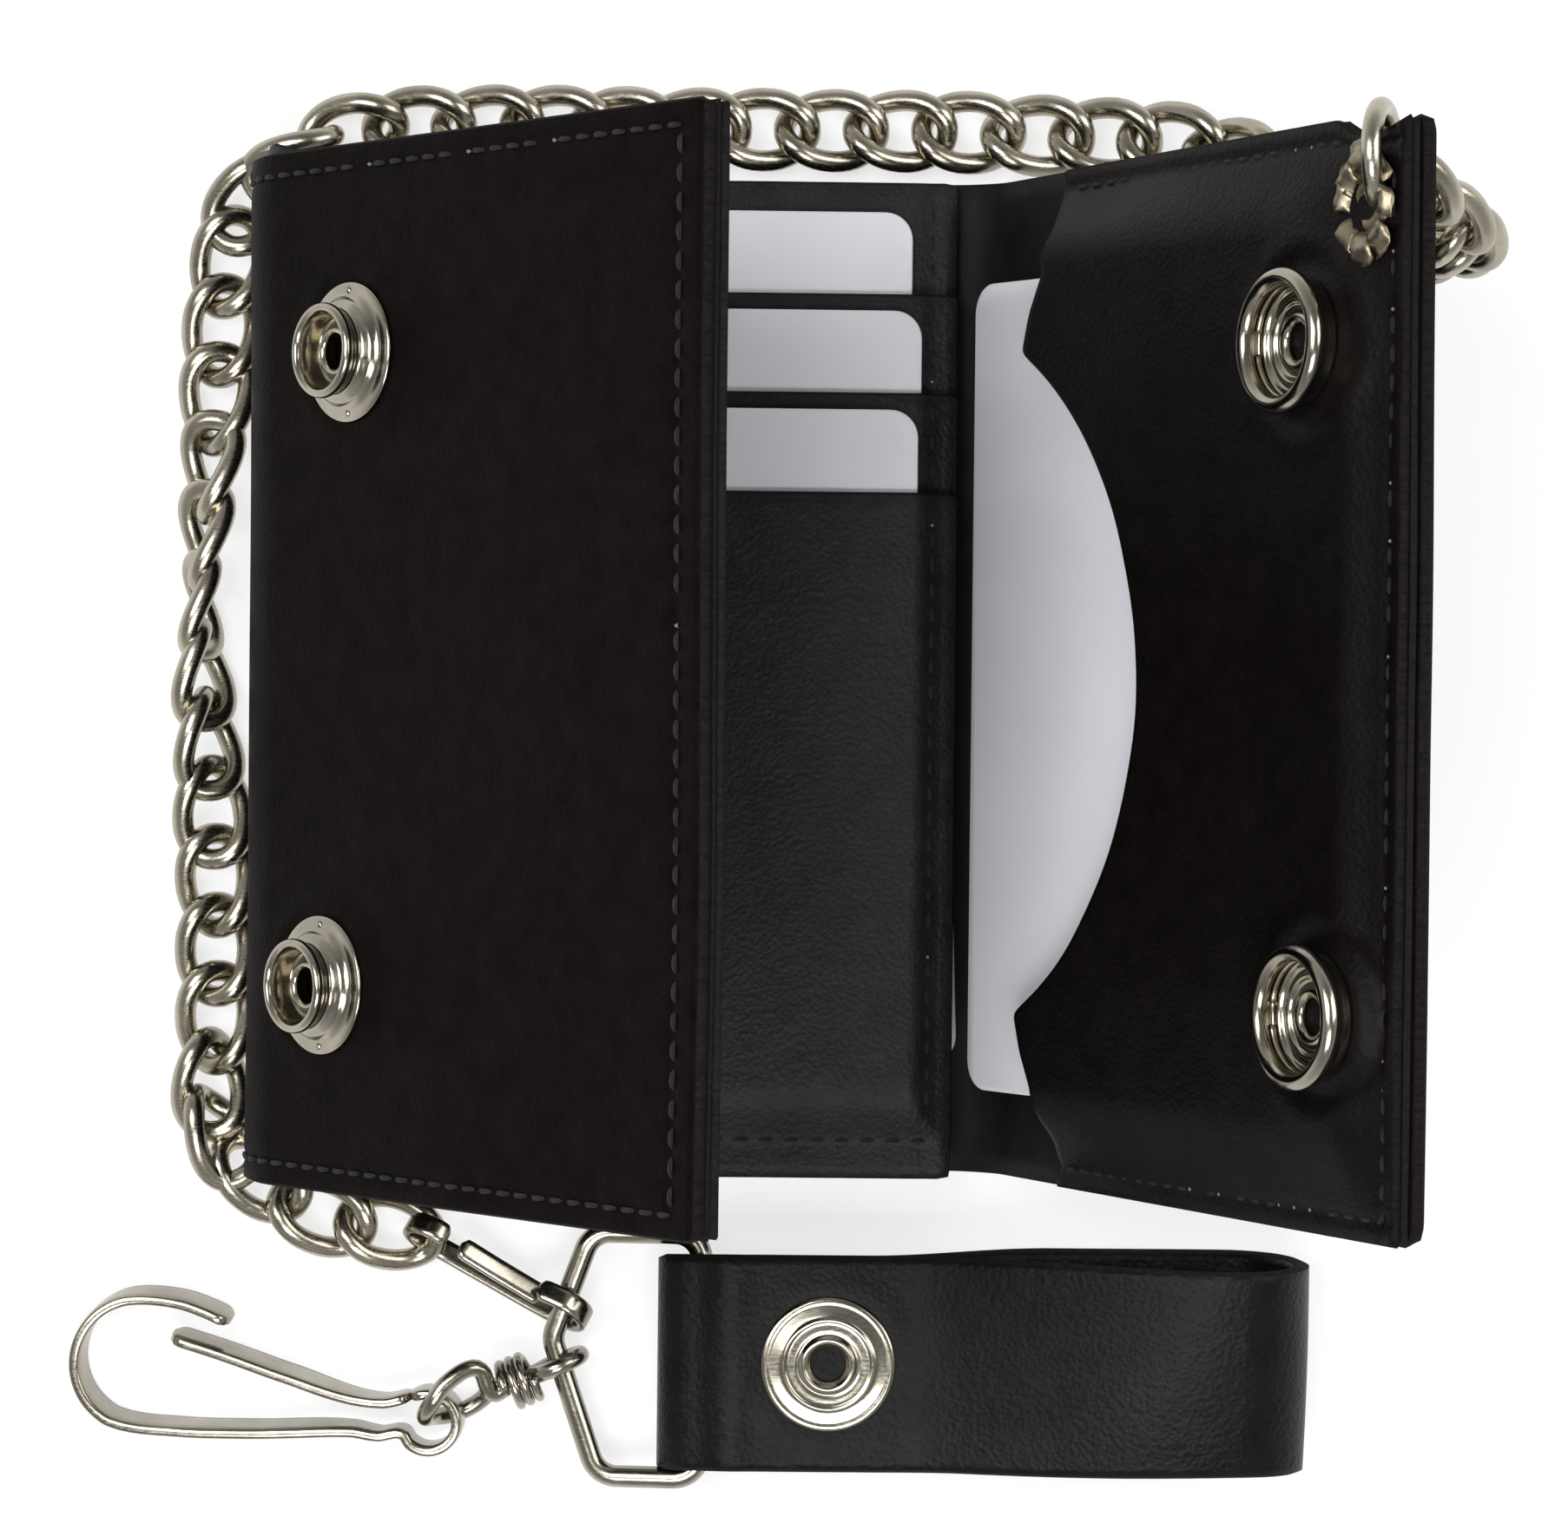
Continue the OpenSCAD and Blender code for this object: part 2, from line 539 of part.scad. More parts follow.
module at_strap_snap(z)
    translate([strap_snap, ring_y, z]) children();
strap_post_len = strap_top_z + strap_t / 2 - return_z + strap_t / 2;
module strap_eyelet()
    color(nickel) at_strap_snap(strap_top_z + strap_t / 2) rotate_extrude()
        polygon([[snap_bore_r, -strap_post_len], [post_r, -strap_post_len], [post_r, 0], [snap_r, 0], [snap_r, 0.35],
            [snap_r - 1.6, 0.5], [snap_r - 2, 1], [snap_r - 2.6, 1], [snap_r - 4.2, 0.5], [snap_bore_r + 0.5, 0.5],
            [snap_bore_r, 0.2]]);
module strap_stud()
    color(nickel) at_strap_snap(return_z - strap_t / 2) mirror([0, 0, 1]) stud_body();
module strap_socket()
    color(nickel) at_strap_snap(tail_z + strap_t / 2) socket_body();
module strap_spring()
    color(nickel) at_strap_snap(tail_z + strap_t / 2) spring_body();
module strap_cap()
    color(nickel) at_strap_snap(tail_z - strap_t / 2) rotate_extrude()
        polygon([[0, strap_t], [post_r, strap_t], [post_r, 0], [snap_r, 0], [snap_r, -0.5], [snap_r - 1.6, -1.6],
            [0, -1.6]]);

// Belt clip: a flat strip with an eye on the last link and a hook round the ring
hook_crossing = [ring_x - ring_d + 1.1, ring_y + 5];
clip_pin = [clip_eye[0] + 1, clip_eye[1] - 0.6];
clip_line = hook_crossing - clip_pin;
clip_reach = norm(clip_line);
clip_strip_t = clip_t * 2 / 3;
clip_eye_r = link_wire / 2 + 1.25 + clip_strip_t / 2;
clip_hook_r = ring_wire / 2 + 1.2 + clip_strip_t / 2;
clip_roll = 66;
clip_lift = 1;
clip_rise = ring_z - ring_drop * (ring_x - hook_crossing[0]) / ring_d - chain_z - clip_lift;
clip_tail_x = clip_eye_r + 1.2;
belt_hook_path = smooth(concat(
    arc([0, 0], clip_eye_r, 60, 300, 8),
    [[clip_tail_x + 1.4, -clip_eye_r + 0.2], [clip_reach / 2, -clip_hook_r + 0.2]],
    arc([clip_reach, 0], clip_hook_r, -90, 110, 8),
    [[clip_reach - 3.2, clip_hook_r - 0.9]]), 3);
belt_tongue_path = smooth([[clip_tail_x - 0.2, clip_eye_r - 0.9], [clip_reach / 2, 0.9],
    [clip_reach - 2.6, clip_hook_r - 2.8]], 5);
module on_belt_clip()
    translate([clip_pin[0], clip_pin[1], chain_z + clip_lift])
        rotate([0, -asin(clip_rise / clip_reach), atan2(clip_line[1], clip_line[0])])
            rotate([clip_roll, 0, 0]) translate([0, 0, -belt_clip_w / 2]) children();
module belt_clip_hook()
    color(nickel) on_belt_clip() strip(belt_hook_path, clip_strip_t, belt_clip_w);
module belt_clip_tongue()
    color(nickel) on_belt_clip() strip(belt_tongue_path, clip_strip_t, belt_clip_w);

// Swivel: a wire eye looped round the ring, its neck wrapped with fine wire
eye_crossing = [ring_x - ring_d + 0.95, ring_y - 1.2];
key_eye = [-22.4, -half_h - 27.2];
neck = unit(key_eye - eye_crossing);
swivel_z = ring_z - ring_drop;
eye_loop_r = ring_wire / 2 + eye_wire / 2 + run_gap;
strand = eye_wire / 2 + 0.05;
function off_ring(d, z) = concat(eye_crossing + d * neck, swivel_z + z);
key_clip_z = eye_wire + 0.4;
key_eye_r = 2.35 + clip_t / 2;
over_z = key_clip_z + key_clip_w + eye_wire / 2 + run_gap;
wrap_r = eye_wire + wrap_wire / 2 + 0.45;
wrap_pitch = wrap_wire + 0.45;
wrap_start = eye_loop_r + 1.2;
wrap_end = wrap_start + wrap_turns * wrap_pitch;
swivel_path = smooth([
    off_ring(wrap_end - 0.6, strand), off_ring(wrap_start, strand), off_ring(1.4, eye_loop_r - 0.3),
    off_ring(0, eye_loop_r), off_ring(-eye_loop_r * 0.8, eye_loop_r * 0.6), off_ring(-eye_loop_r, 0),
    off_ring(-eye_loop_r * 0.8, -eye_loop_r * 0.6), off_ring(0, -eye_loop_r), off_ring(1.4, -eye_loop_r + 0.3),
    off_ring(wrap_start, -strand), off_ring(wrap_end, -strand),
    concat(key_eye + [6.3, 3.2], 2), concat(key_eye + [5.4, 1.8], eye_wire / 2 + 0.05),
    concat(key_eye + [2.6, 0.2], eye_wire / 2 + 0.05), concat(key_eye + [0.2, 0], 2.6),
    concat(key_eye + [-0.6, 0.6], over_z - 1.6), concat(key_eye + [0.2, 2.2], over_z),
    concat(key_eye + [1.8, 4.4], over_z), concat(key_eye + [5, 5.9], over_z - 0.9),
    off_ring(wrap_end + 1.4, strand + 0.5), off_ring(wrap_end, strand)], 3);
module swivel_eye()
    color(nickel) wire(swivel_path, eye_wire / 2, 8, [0, 0, 1]);
wrap_path = [for (i = [0:wrap_turns * 12])
    let (a = i * 30)
    off_ring(wrap_start + 0.1 + wrap_pitch * i / 12, 0)
        + wrap_r * (cos(a) * [0, 0, 1] + sin(a) * [-neck[1], neck[0], 0])];
wrap_gap = min([for (i = [0:len(wrap_path) - 1], j = [i + 6:1:len(wrap_path) - 1])
    norm(wrap_path[i] - wrap_path[j])]) - wrap_wire;
echo(wrap_least_gap = wrap_gap);
module swivel_wrap()
    color(nickel) wire(wrap_path, wrap_wire / 2, 6, concat(neck, 0));

// Key clip: one flat strip bent into an eye, a hook and a springy tongue
hook_r = 7;
hook_x = -key_clip_len + hook_r;
key_hook_path = smooth(concat(
    [[hook_x + 9.6, hook_r + 4], [hook_x + 5.2, hook_r + 6.1]],
    arc([hook_x, hook_r - 0.6], hook_r, 75, 245, 9),
    [[hook_x + 4.4, -0.9], [hook_x + 12, -1], [-8.4, -0.9], [-5.4, -1.5]],
    arc([0, 0], key_eye_r, 205, 455, 10), [[-2.1, 2.7]]), 3);
key_tongue_path = smooth([[-2.55, 2.57], [-5, 2.1], [-15, 5], [hook_x + 9, 7.5], [hook_x + 3.4, 9.2]], 5);
key_tilt = asin(key_clip_z / (key_clip_len + hook_r / 2));
module on_key_clip()
    translate(concat(key_eye, key_clip_z)) rotate([0, -key_tilt, 0]) children();
module key_clip_hook()
    color(nickel) on_key_clip() strip(key_hook_path, clip_t, key_clip_w);
module key_clip_tongue()
    color(nickel) on_key_clip() strip(key_tongue_path, clip_t, key_clip_w);

echo(link_count = link_count, link_step = link_step, chain_length = chain_length, link_len = link_len);
echo(corner_joint = link_joint(corner_link), end_joint = link_joint(end_links), chain_z = chain_z);
echo(clip_pin = clip_pin, ring_hang = ring_hang, ring_centre_y = eyelet_y + end_ring_r);

outer_cover_middle();
outer_cover_left();
outer_cover_right();
left_fold();
right_fold();
bill_lining_middle();
bill_lining_left();
bill_lining_right();
lining_fold_left();
lining_fold_right();
card_backing();
slot_pocket_top();
slot_pocket_middle();
slot_pocket_bottom();
left_inner_pocket();
window_pocket();
card_top();
card_middle();
card_bottom();
spare_card();
window_card();
flap_studs();
stud_posts();
flap_sockets();
socket_springs();
snap_caps();
chain_eyelet();
end_ring();
chain_lead();
chain_top();
chain_left();
chain_end();
belt_clip_hook();
belt_clip_tongue();
strap_ring();
belt_strap();
strap_bend();
strap_tail();
strap_eyelet();
strap_stud();
strap_socket();
strap_spring();
strap_cap();
swivel_eye();
swivel_wrap();
key_clip_hook();
key_clip_tongue();
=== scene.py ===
import math
import random

import bpy
import bmesh
import numpy as np
from mathutils import Matrix, Vector, noise


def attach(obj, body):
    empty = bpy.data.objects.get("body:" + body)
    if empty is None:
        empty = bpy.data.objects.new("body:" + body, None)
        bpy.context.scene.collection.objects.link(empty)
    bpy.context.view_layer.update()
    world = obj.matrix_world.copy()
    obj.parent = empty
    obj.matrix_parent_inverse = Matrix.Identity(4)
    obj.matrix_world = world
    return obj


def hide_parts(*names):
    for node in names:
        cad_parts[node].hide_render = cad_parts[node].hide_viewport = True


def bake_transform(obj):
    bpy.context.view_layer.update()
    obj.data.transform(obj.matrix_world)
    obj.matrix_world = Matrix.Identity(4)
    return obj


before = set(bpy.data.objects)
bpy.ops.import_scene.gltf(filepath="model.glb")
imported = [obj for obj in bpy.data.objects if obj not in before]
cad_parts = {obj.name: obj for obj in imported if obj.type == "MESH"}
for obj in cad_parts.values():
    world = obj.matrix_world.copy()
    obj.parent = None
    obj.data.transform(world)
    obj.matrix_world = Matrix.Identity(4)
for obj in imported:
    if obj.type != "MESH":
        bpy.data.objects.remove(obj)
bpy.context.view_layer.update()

# Outer cover: one sheet of smooth black cowhide, cut raw, wrapped round the back and both flaps.
# It is laid in two halves that meet under the middle panel, each half with its own
# fold. The leather swells round the snaps and is pressed down where the seams run.
mm = 0.001
half_height, cover_thickness = 54.0, 1.4
left_slope, left_reach, left_fold_radius = 50.0, 69.4, 15.0
right_slope, right_reach, right_fold_radius = 64.0, 78.0, 10.0
left_fold_x, right_fold_x = -27.0, 32.0
snap_y = 32.5
stud_places = [(13.0, snap_y), (9.0, -snap_y)]
socket_places = [(63.0, snap_y), (67.0, -snap_y)]
eyelet_place = (71.6, 45.0)
edge_seam_y, sewn_from = half_height - 2.5, 30
channel_depth, channel_width = 0.22, 0.7
swell_height, swell_radius, swell_width, snap_hold = 0.2, 8.5, 1.3, 12
nip_depth, nip_height, nip_left, nip_right, cover_nip = 1.8, 5, 4.6, 6.0, 2.4
course_step, wave_ease, ragged_height, ragged_size = 0.25, 8, 0.06, 2.0


def ramp(low, high, x):
    """Eases from 0 at low to 1 at high."""
    t = np.clip((x - low) / (high - low), 0, 1)
    return t * t * (3 - 2 * t)


def ridge(middle, width, x):
    """A smooth rise to 1 at the middle."""
    return np.exp(-((x - middle) / width) ** 2)


def lines(first, last, coarse, *close):
    """Grid lines from first to last, closer together round each (middle, reach, spacing)."""
    marks = [first]
    while marks[-1] < last - 1e-6:
        near = [spacing for middle, reach, spacing in close if abs(marks[-1] - middle) <= reach]
        marks.append(marks[-1] + min([coarse] + near))
    marks = np.array(marks)
    return first + (marks - first) * (last - first) / (marks[-1] - first)


def unevenness(s, y, size, sheet):
    """Slow waves of a hand-cut sheet, about -1 to 1 and the same on every run."""
    s, y = np.broadcast_arrays(s, y)
    waves = [noise.noise(Vector((a / size, b / size, sheet))) for a, b in zip(s.ravel(), y.ravel())]
    return np.array(waves).reshape(s.shape)


def course(x, z, heading, runs, outward):
    """A sheet's profile in the XZ plane from runs of (length, turn): a place and outward way for each s."""
    at, xs, zs, turns = [0.0], [x], [z], [heading]
    for length, turn in runs:
        pieces = max(2, int(length / course_step))
        for _ in range(pieces):
            middle = math.radians(turns[-1] + turn / pieces / 2)
            xs.append(xs[-1] + math.cos(middle) * length / pieces)
            zs.append(zs[-1] + math.sin(middle) * length / pieces)
            turns.append(turns[-1] + turn / pieces)
            at.append(at[-1] + length / pieces)

    def place(s):
        way = np.radians(np.interp(s, at, turns))
        return np.interp(s, at, xs), np.interp(s, at, zs), -outward * np.sin(way), outward * np.cos(way)
    return place


def skin(profile, depth=0.0, lift=None):
    """The outer face of a sheet that lies depth inside a profile: points for arrays of s and y."""
    def place(s, y, out=0.0):
        s, y = np.broadcast_arrays(np.asarray(s, float), np.asarray(y, float))
        x, z, nx, nz = profile(s)
        rise = out - (depth(s, y) if callable(depth) else depth) + (lift(s, y) if lift else 0.0)
        return np.stack([x + nx * rise, y, z + nz * rise], axis=-1)
    return place


def rounded_corner(s, y, ends, sides, radius):
    """Draws the square corners of a panel in to a radius."""
    a = np.maximum(np.maximum(ends[0] + radius - s, s - (ends[1] - radius)), 0) / radius
    b = np.maximum(np.maximum(sides[0] + radius - y, y - (sides[1] - radius)), 0) / radius
    a2, b2 = a * np.sqrt(1 - b * b / 2), b * np.sqrt(1 - a * a / 2)
    s = s - np.sign(s - sum(ends) / 2) * (a - a2) * radius
    y = y - np.sign(y - sum(sides) / 2) * (b - b2) * radius
    return s, y


def two_skins(rows, columns):
    """Faces of a grid of points and of its copy underneath, and the points round its edge."""
    grid, faces = rows * columns, []
    for a in (i * columns + j for i in range(rows - 1) for j in range(columns - 1)):
        b, c, d = a + columns, a + columns + 1, a + 1
        faces += [(a, b, c, d), (grid + d, grid + c, grid + b, grid + a)]
    spots = np.arange(grid).reshape(rows, columns)
    edge = np.concatenate([spots[:, 0], spots[-1, 1:], spots[-2::-1, -1], spots[0, -2:0:-1]])
    return faces, edge.tolist()


def panel(face, s_lines, y_lines, thickness, press=None, start=None, corner=0.0, rim=0.35,
          square_start=False, square_end=False):
    """A closed leather sheet: outer face, inner face and a rounded cut rim. Returns points, faces, which
    faces are rim, and a flat (s, y) place for each point."""
    ends, sides = (s_lines[0], s_lines[-1]), (y_lines[0], y_lines[-1])

    def settle(s, y):
        if corner:
            s, y = rounded_corner(s, y, ends, sides, corner)
        if start:
            s = start(y) + (s - ends[0]) / (ends[1] - ends[0]) * (ends[1] - start(y))
        return s, y

    inner_s, inner_y = s_lines.copy(), y_lines.copy()
    inner_s[0] += 0 if square_start else rim
    inner_s[-1] -= 0 if square_end else rim
    inner_y[0] += rim
    inner_y[-1] -= rim
    s, y = settle(*np.meshgrid(inner_s, inner_y, indexing="ij"))
    top = face(s, y, press(s, y) if press else 0.0)
    under = face(s, y, -thickness)
    faces, edge = two_skins(*s.shape)
    rim_s, rim_y = (line.ravel()[edge] for line in settle(*np.meshgrid(s_lines, y_lines, indexing="ij")))
    ragged = ragged_height * unevenness(rim_s * 3, rim_y * 3, ragged_size, 7.0)
    middle = face(rim_s, rim_y, -thickness / 2 + ragged)
    points = np.concatenate([top.reshape(-1, 3), under.reshape(-1, 3), middle])
    flat = np.concatenate([np.stack([s, y], -1).reshape(-1, 2)] * 2 + [np.stack([rim_s, rim_y], -1)])
    is_rim = [False] * len(faces) + [True] * (2 * len(edge))
    for k, a in enumerate(edge):
        n = (k + 1) % len(edge)
        b, here, after = edge[n], 2 * s.size + k, 2 * s.size + n
        faces += [(a, here, after, b), (s.size + b, after, here, s.size + a)]
    return points, faces, is_rim, flat


def make_piece(name, points, faces, finishes, second=None, flat=None, at=None):
    """A named mesh from points in millimetres. Faces marked in second take the second finish."""
    points = np.asarray(points, float)
    mesh = bpy.data.meshes.new(name)
    mesh.from_pydata((points * mm).tolist(), [], faces)
    for finish in finishes:
        mesh.materials.append(finish)
    if second is not None:
        mesh.polygons.foreach_set("material_index", np.array(second, int))
    if flat is not None:
        layer = mesh.uv_layers.new(name="cut")
        corners = np.zeros(len(mesh.loops), int)
        mesh.loops.foreach_get("vertex_index", corners)
        layer.data.foreach_set("uv", (np.asarray(flat)[corners] / 100).ravel())
    if at is not None:
        mesh.transform(Matrix.Translation(at.translation * mm) @ at.to_3x3().to_4x4())
    tidy = bmesh.new()
    tidy.from_mesh(mesh)
    bmesh.ops.recalc_face_normals(tidy, faces=tidy.faces)
    tidy.to_mesh(mesh)
    tidy.free()
    mesh.polygons.foreach_set("use_smooth", [True] * len(mesh.polygons))
    thing = bpy.data.objects.new(name, mesh)
    bpy.context.collection.objects.link(thing)
    return thing


def sheet(name, finishes, *cut, flat_start=0.0, **edges):
    """A panel as a named piece: its faces in the first finish, its cut rim in the second."""
    points, faces, is_rim, flat = panel(*cut, **edges)
    return make_piece(name, points, faces, finishes, is_rim, flat + np.array([flat_start, 0]))


def new_finish(name, colour, roughness, metallic=0.0, specular=0.5):
    """A material whose constant values sit on the shader itself."""
    finish = bpy.data.materials.new(name)
    finish.use_nodes = True
    shader = finish.node_tree.nodes["Principled BSDF"]
    shader.inputs["Base Color"].default_value = (*colour, 1)
    shader.inputs["Roughness"].default_value = roughness
    shader.inputs["Metallic"].default_value = metallic
    shader.inputs["Specular IOR Level"].default_value = specular
    return finish, shader


def join(finish, source, target):
    finish.node_tree.links.new(source, target)


def node(finish, kind, **settings):
    """Adds a shader node. Outputs are joined to its sockets; other values set a property or a socket."""
    made = finish.node_tree.nodes.new(kind)
    for key, value in settings.items():
        socket = key.replace("_", " ")
        if isinstance(value, bpy.types.NodeSocket):
            join(finish, value, made.inputs[socket])
        elif hasattr(made, key):
            setattr(made, key, value)
        else:
            made.inputs[socket].default_value = value
    return made


def cut_lay(finish):
    """Places on the flat sheet before it was folded, in tenths of a metre."""
    return node(finish, "ShaderNodeUVMap", uv_map="cut").outputs["UV"]


def clouds(finish, lay, scale, detail, roughness=0.5):
    """Noise over a lay of places."""
    return node(finish, "ShaderNodeTexNoise", Vector=lay, Scale=scale, Detail=detail,
                Roughness=roughness).outputs["Fac"]


def reckon(finish, operation, *values):
    """One step of arithmetic on outputs and constants."""
    made = node(finish, "ShaderNodeMath", operation=operation)
    for socket, value in zip(made.inputs, values):
        if isinstance(value, float):
            socket.default_value = value
        else:
            join(finish, value, socket)
    return made.outputs[0]


def spread(finish, factor, low, high, first=0.3, last=0.7):
    """A number that runs from low to high while a factor runs from first to last."""
    return node(finish, "ShaderNodeMapRange", Value=factor, From_Min=first, From_Max=last, To_Min=low,
                To_Max=high).outputs["Result"]


def tint(finish, target, factor, dark, light, low=0.3, high=0.7):
    """Runs a colour from dark to light along a factor."""
    blend = node(finish, "ShaderNodeValToRGB")
    for end, position, colour in zip(blend.color_ramp.elements, (low, high), (dark, light)):
        end.position, end.color = position, (*colour, 1)
    join(finish, factor, blend.inputs[0])
    join(finish, blend.outputs["Color"], target)


def relief(finish, shader, *layers):
    """Stacks bumps, each a (height, depth in millimetres, strength)."""
    below = {}
    for height, depth, strength in layers:
        bump = node(finish, "ShaderNodeBump", Strength=strength, Distance=depth * mm, Height=height, **below)
        below = {"Normal": bump.outputs["Normal"]}
    join(finish, below["Normal"], shader.inputs["Normal"])


def leather(name, dark, light, rough, grain, grain_depth, specular):
    """Dyed grain leather: pebble cells of a given size in millimetres, fine pores and slow gloss changes."""
    finish, shader = new_finish(name, dark, rough[0], specular=specular)
    lay = cut_lay(finish)
    cells = node(finish, "ShaderNodeTexVoronoi", feature="SMOOTH_F1", Vector=lay, Scale=100 / grain,
                 Smoothness=0.6)
    pores = clouds(finish, lay, scale=100 / grain * 3.1, detail=4.0, roughness=0.6)
    mottle = clouds(finish, lay, scale=26.0, detail=7.0, roughness=0.68)
    gloss = clouds(finish, lay, scale=5.0, detail=3.0)
    specks = clouds(finish, lay, scale=1500.0, detail=1.0)
    dust = spread(finish, specks, low=0.0, high=0.7, first=0.70, last=0.80)
    tint(finish, shader.inputs["Base Color"], reckon(finish, "ADD", mottle, dust), dark, light, 0.32, 0.9)
    join(finish, spread(finish, gloss, *rough), shader.inputs["Roughness"])
    relief(finish, shader, (cells.outputs["Distance"], grain_depth, 0.5), (pores, grain_depth * 0.6, 0.5))
    return finish


def cut_edge(name, dark, light):
    """The raw edge of a cut sheet: dyed, dull and slightly furry."""
    finish, shader = new_finish(name, dark, 0.85, specular=0.08)
    fibre = clouds(finish, cut_lay(finish), scale=190.0, detail=6.0, roughness=0.75)
    tint(finish, shader.inputs["Base Color"], fibre, dark, light, 0.38, 0.75)
    relief(finish, shader, (fibre, 0.25, 0.7))
    return finish


cover_hide = leather("cover_hide", dark=(0.0025, 0.0016, 0.0015), light=(0.0072, 0.0053, 0.005),
                     rough=(0.40, 0.52), grain=0.5, grain_depth=0.09, specular=0.016)
cover_edge = cut_edge("cover_edge", (0.0035, 0.0028, 0.0027), (0.013, 0.0105, 0.0098))

left_arc = left_fold_radius * math.radians(180 - left_slope)
right_arc = right_fold_radius * math.radians(right_slope)
left_start = -left_fold_x + left_arc
right_start = right_fold_x + right_arc
left_course = course(0, 0, 180, [(-left_fold_x, 0), (left_arc, left_slope - 180), (left_reach, 0)], 1)
right_course = course(0, 0, 0, [(right_fold_x, 0), (right_arc, right_slope), (right_reach, 0)], -1)
left_seam_s = left_start + left_reach - 3.9
right_seam_s = right_start + 74.2


def from_snap(s, y, place, first=0.0):
    """Distance along the sheet from the middle of a snap or eyelet."""
    return np.hypot(s - first - place[0], y - place[1])


def snap_swell(s, y, places, first):
    """Leather squeezed up in a low ring round each snap."""
    return sum(swell_height * ridge(swell_radius, swell_width, from_snap(s, y, place, first))
               for place in places)


def snap_calm(s, y, places, first):
    """0 under each snap, where the leather is held flat, and 1 away from it."""
    return math.prod(1 - ridge(0, snap_hold, from_snap(s, y, place, first)) for place in places)


def seam_press(s, y, seam_s):
    """A stitched channel along the free edge and both cut sides of a flap."""
    sewn = ramp(sewn_from, sewn_from + 4, s)
    ends = -edge_seam_y - 1, -edge_seam_y
    across = ridge(seam_s, channel_width, s) * ramp(*ends, y) * ramp(*ends, -y)
    along = ridge(edge_seam_y, channel_width, np.abs(y)) * ramp(seam_s + 1, seam_s, s)
    return -channel_depth * np.maximum(across, along) * sewn


def flap_lift(height, size, number, places, fold, first):
    """Slow waves of a flap, with none on the middle panel or under its snaps."""
    def lift(s, y):
        sway = unevenness(s, y, size, number) * snap_calm(s, y, places, first)
        return height * sway * ramp(fold, first + wave_ease, s)
    return lift


def nipped(face, at):
    """A face whose top edge is drawn down at s, where the end ring bites into the leather."""
    def place(s, y, out=0.0):
        away = s - at
        nip = np.where(away < 0, np.exp(-(away / nip_left) ** 4), ridge(0, nip_right, np.maximum(away, 0)))
        return face(s, y - nip_depth * ramp(half_height - nip_height, half_height, y) * nip, out)
    return place


left_lift = flap_lift(0.45, 34, 1.0, stud_places, -left_fold_x, left_start)
right_lift = flap_lift(0.35, 38, 2.0, socket_places, right_fold_x, right_start)
left_face = skin(left_course, lift=left_lift)
right_face = nipped(skin(right_course, lift=right_lift), right_start + eyelet_place[0] - cover_nip)
edge_close = [(-edge_seam_y, 1.6, 0.45), (edge_seam_y, 1.6, 0.45)]
cover_left = sheet(
    "cover_left", [cover_hide, cover_edge], left_face,
    lines(0, left_start + left_reach, 1.5, (left_start + 11, 13, 0.8), (left_seam_s, 1.6, 0.45)),
    lines(-half_height, half_height, 1.5, *edge_close, (snap_y, 10, 0.8), (-snap_y, 10, 0.8)),
    cover_thickness, corner=1.6,
    press=lambda s, y: snap_swell(s, y, stud_places, left_start) + seam_press(s, y, left_seam_s))
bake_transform(cover_left)
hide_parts("outer_cover_left", "left_fold", "outer_cover_middle")
cover_right = sheet(
    "cover_right", [cover_hide, cover_edge], right_face,
    lines(0, right_start + right_reach, 1.7, (right_seam_s, 1.6, 0.45)),
    lines(-half_height, half_height, 1.7, *edge_close), cover_thickness, corner=2.6,
    press=lambda s, y: snap_swell(s, y, socket_places, right_start) + seam_press(s, y, right_seam_s))
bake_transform(cover_right)
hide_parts("outer_cover_right", "right_fold", "outer_cover_middle")

# Cover seams: black bonded thread in a straight lockstitch, about nine stitches to the inch,
# sunk into the leather. Here and there a pale speck of the under-thread shows in a hole.
stitch_pitch, stitch_radius, stitch_bow, stitch_sink, stitch_flat = 2.75, 0.3, 0.10, 0.42, 0.8
few_specks, ring_clear = 0.05, 3
left_row_from, right_row_from, right_row_to = 33, 36, right_start + 63
thread, thread_shader = new_finish("seam_thread", (0.010, 0.0095, 0.0095), 0.6, specular=0.35)
thread_lay = cut_lay(thread)
thread_ply = node(thread, "ShaderNodeTexWave", Vector=thread_lay, Scale=60.0, Distortion=0.6,
                  bands_direction="DIAGONAL").outputs["Fac"]
thread_chalk = clouds(thread, thread_lay, scale=7.0, detail=4.0, roughness=0.7)
thread_worn = spread(thread, thread_chalk, low=0.0, high=0.75, first=0.56, last=0.74)
thread_shade = reckon(thread, "MULTIPLY_ADD", thread_ply, 0.25, thread_worn)
tint(thread, thread_shader.inputs["Base Color"], thread_shade,
     (0.0045, 0.004, 0.0039), (0.034, 0.031, 0.029), 0.1, 1.0)
relief(thread, thread_shader, (thread_ply, 0.12, 0.6))
thread_speck, speck_shader = new_finish("thread_speck", (0.3, 0.27, 0.24), 0.8)
speck_fibre = clouds(thread_speck, cut_lay(thread_speck), scale=400.0, detail=3.0)
tint(thread_speck, speck_shader.inputs["Base Color"], speck_fibre, (0.06, 0.054, 0.047), (0.2, 0.185, 0.165))


def tube_faces(rings, sides, first=0, closed=False):
    """Faces of a tube whose rings of points follow one another, with a face over each open end."""
    faces = []
    for i in range(rings if closed else rings - 1):
        here, after = first + i * sides, first + (i + 1) % rings * sides
        for k in range(sides):
            n = (k + 1) % sides
            faces.append((here + k, here + n, after + n, after + k))
    if not closed:
        faces.append(tuple(first + k for k in range(sides))[::-1])
        faces.append(tuple(first + (rings - 1) * sides + k for k in range(sides)))
    return faces


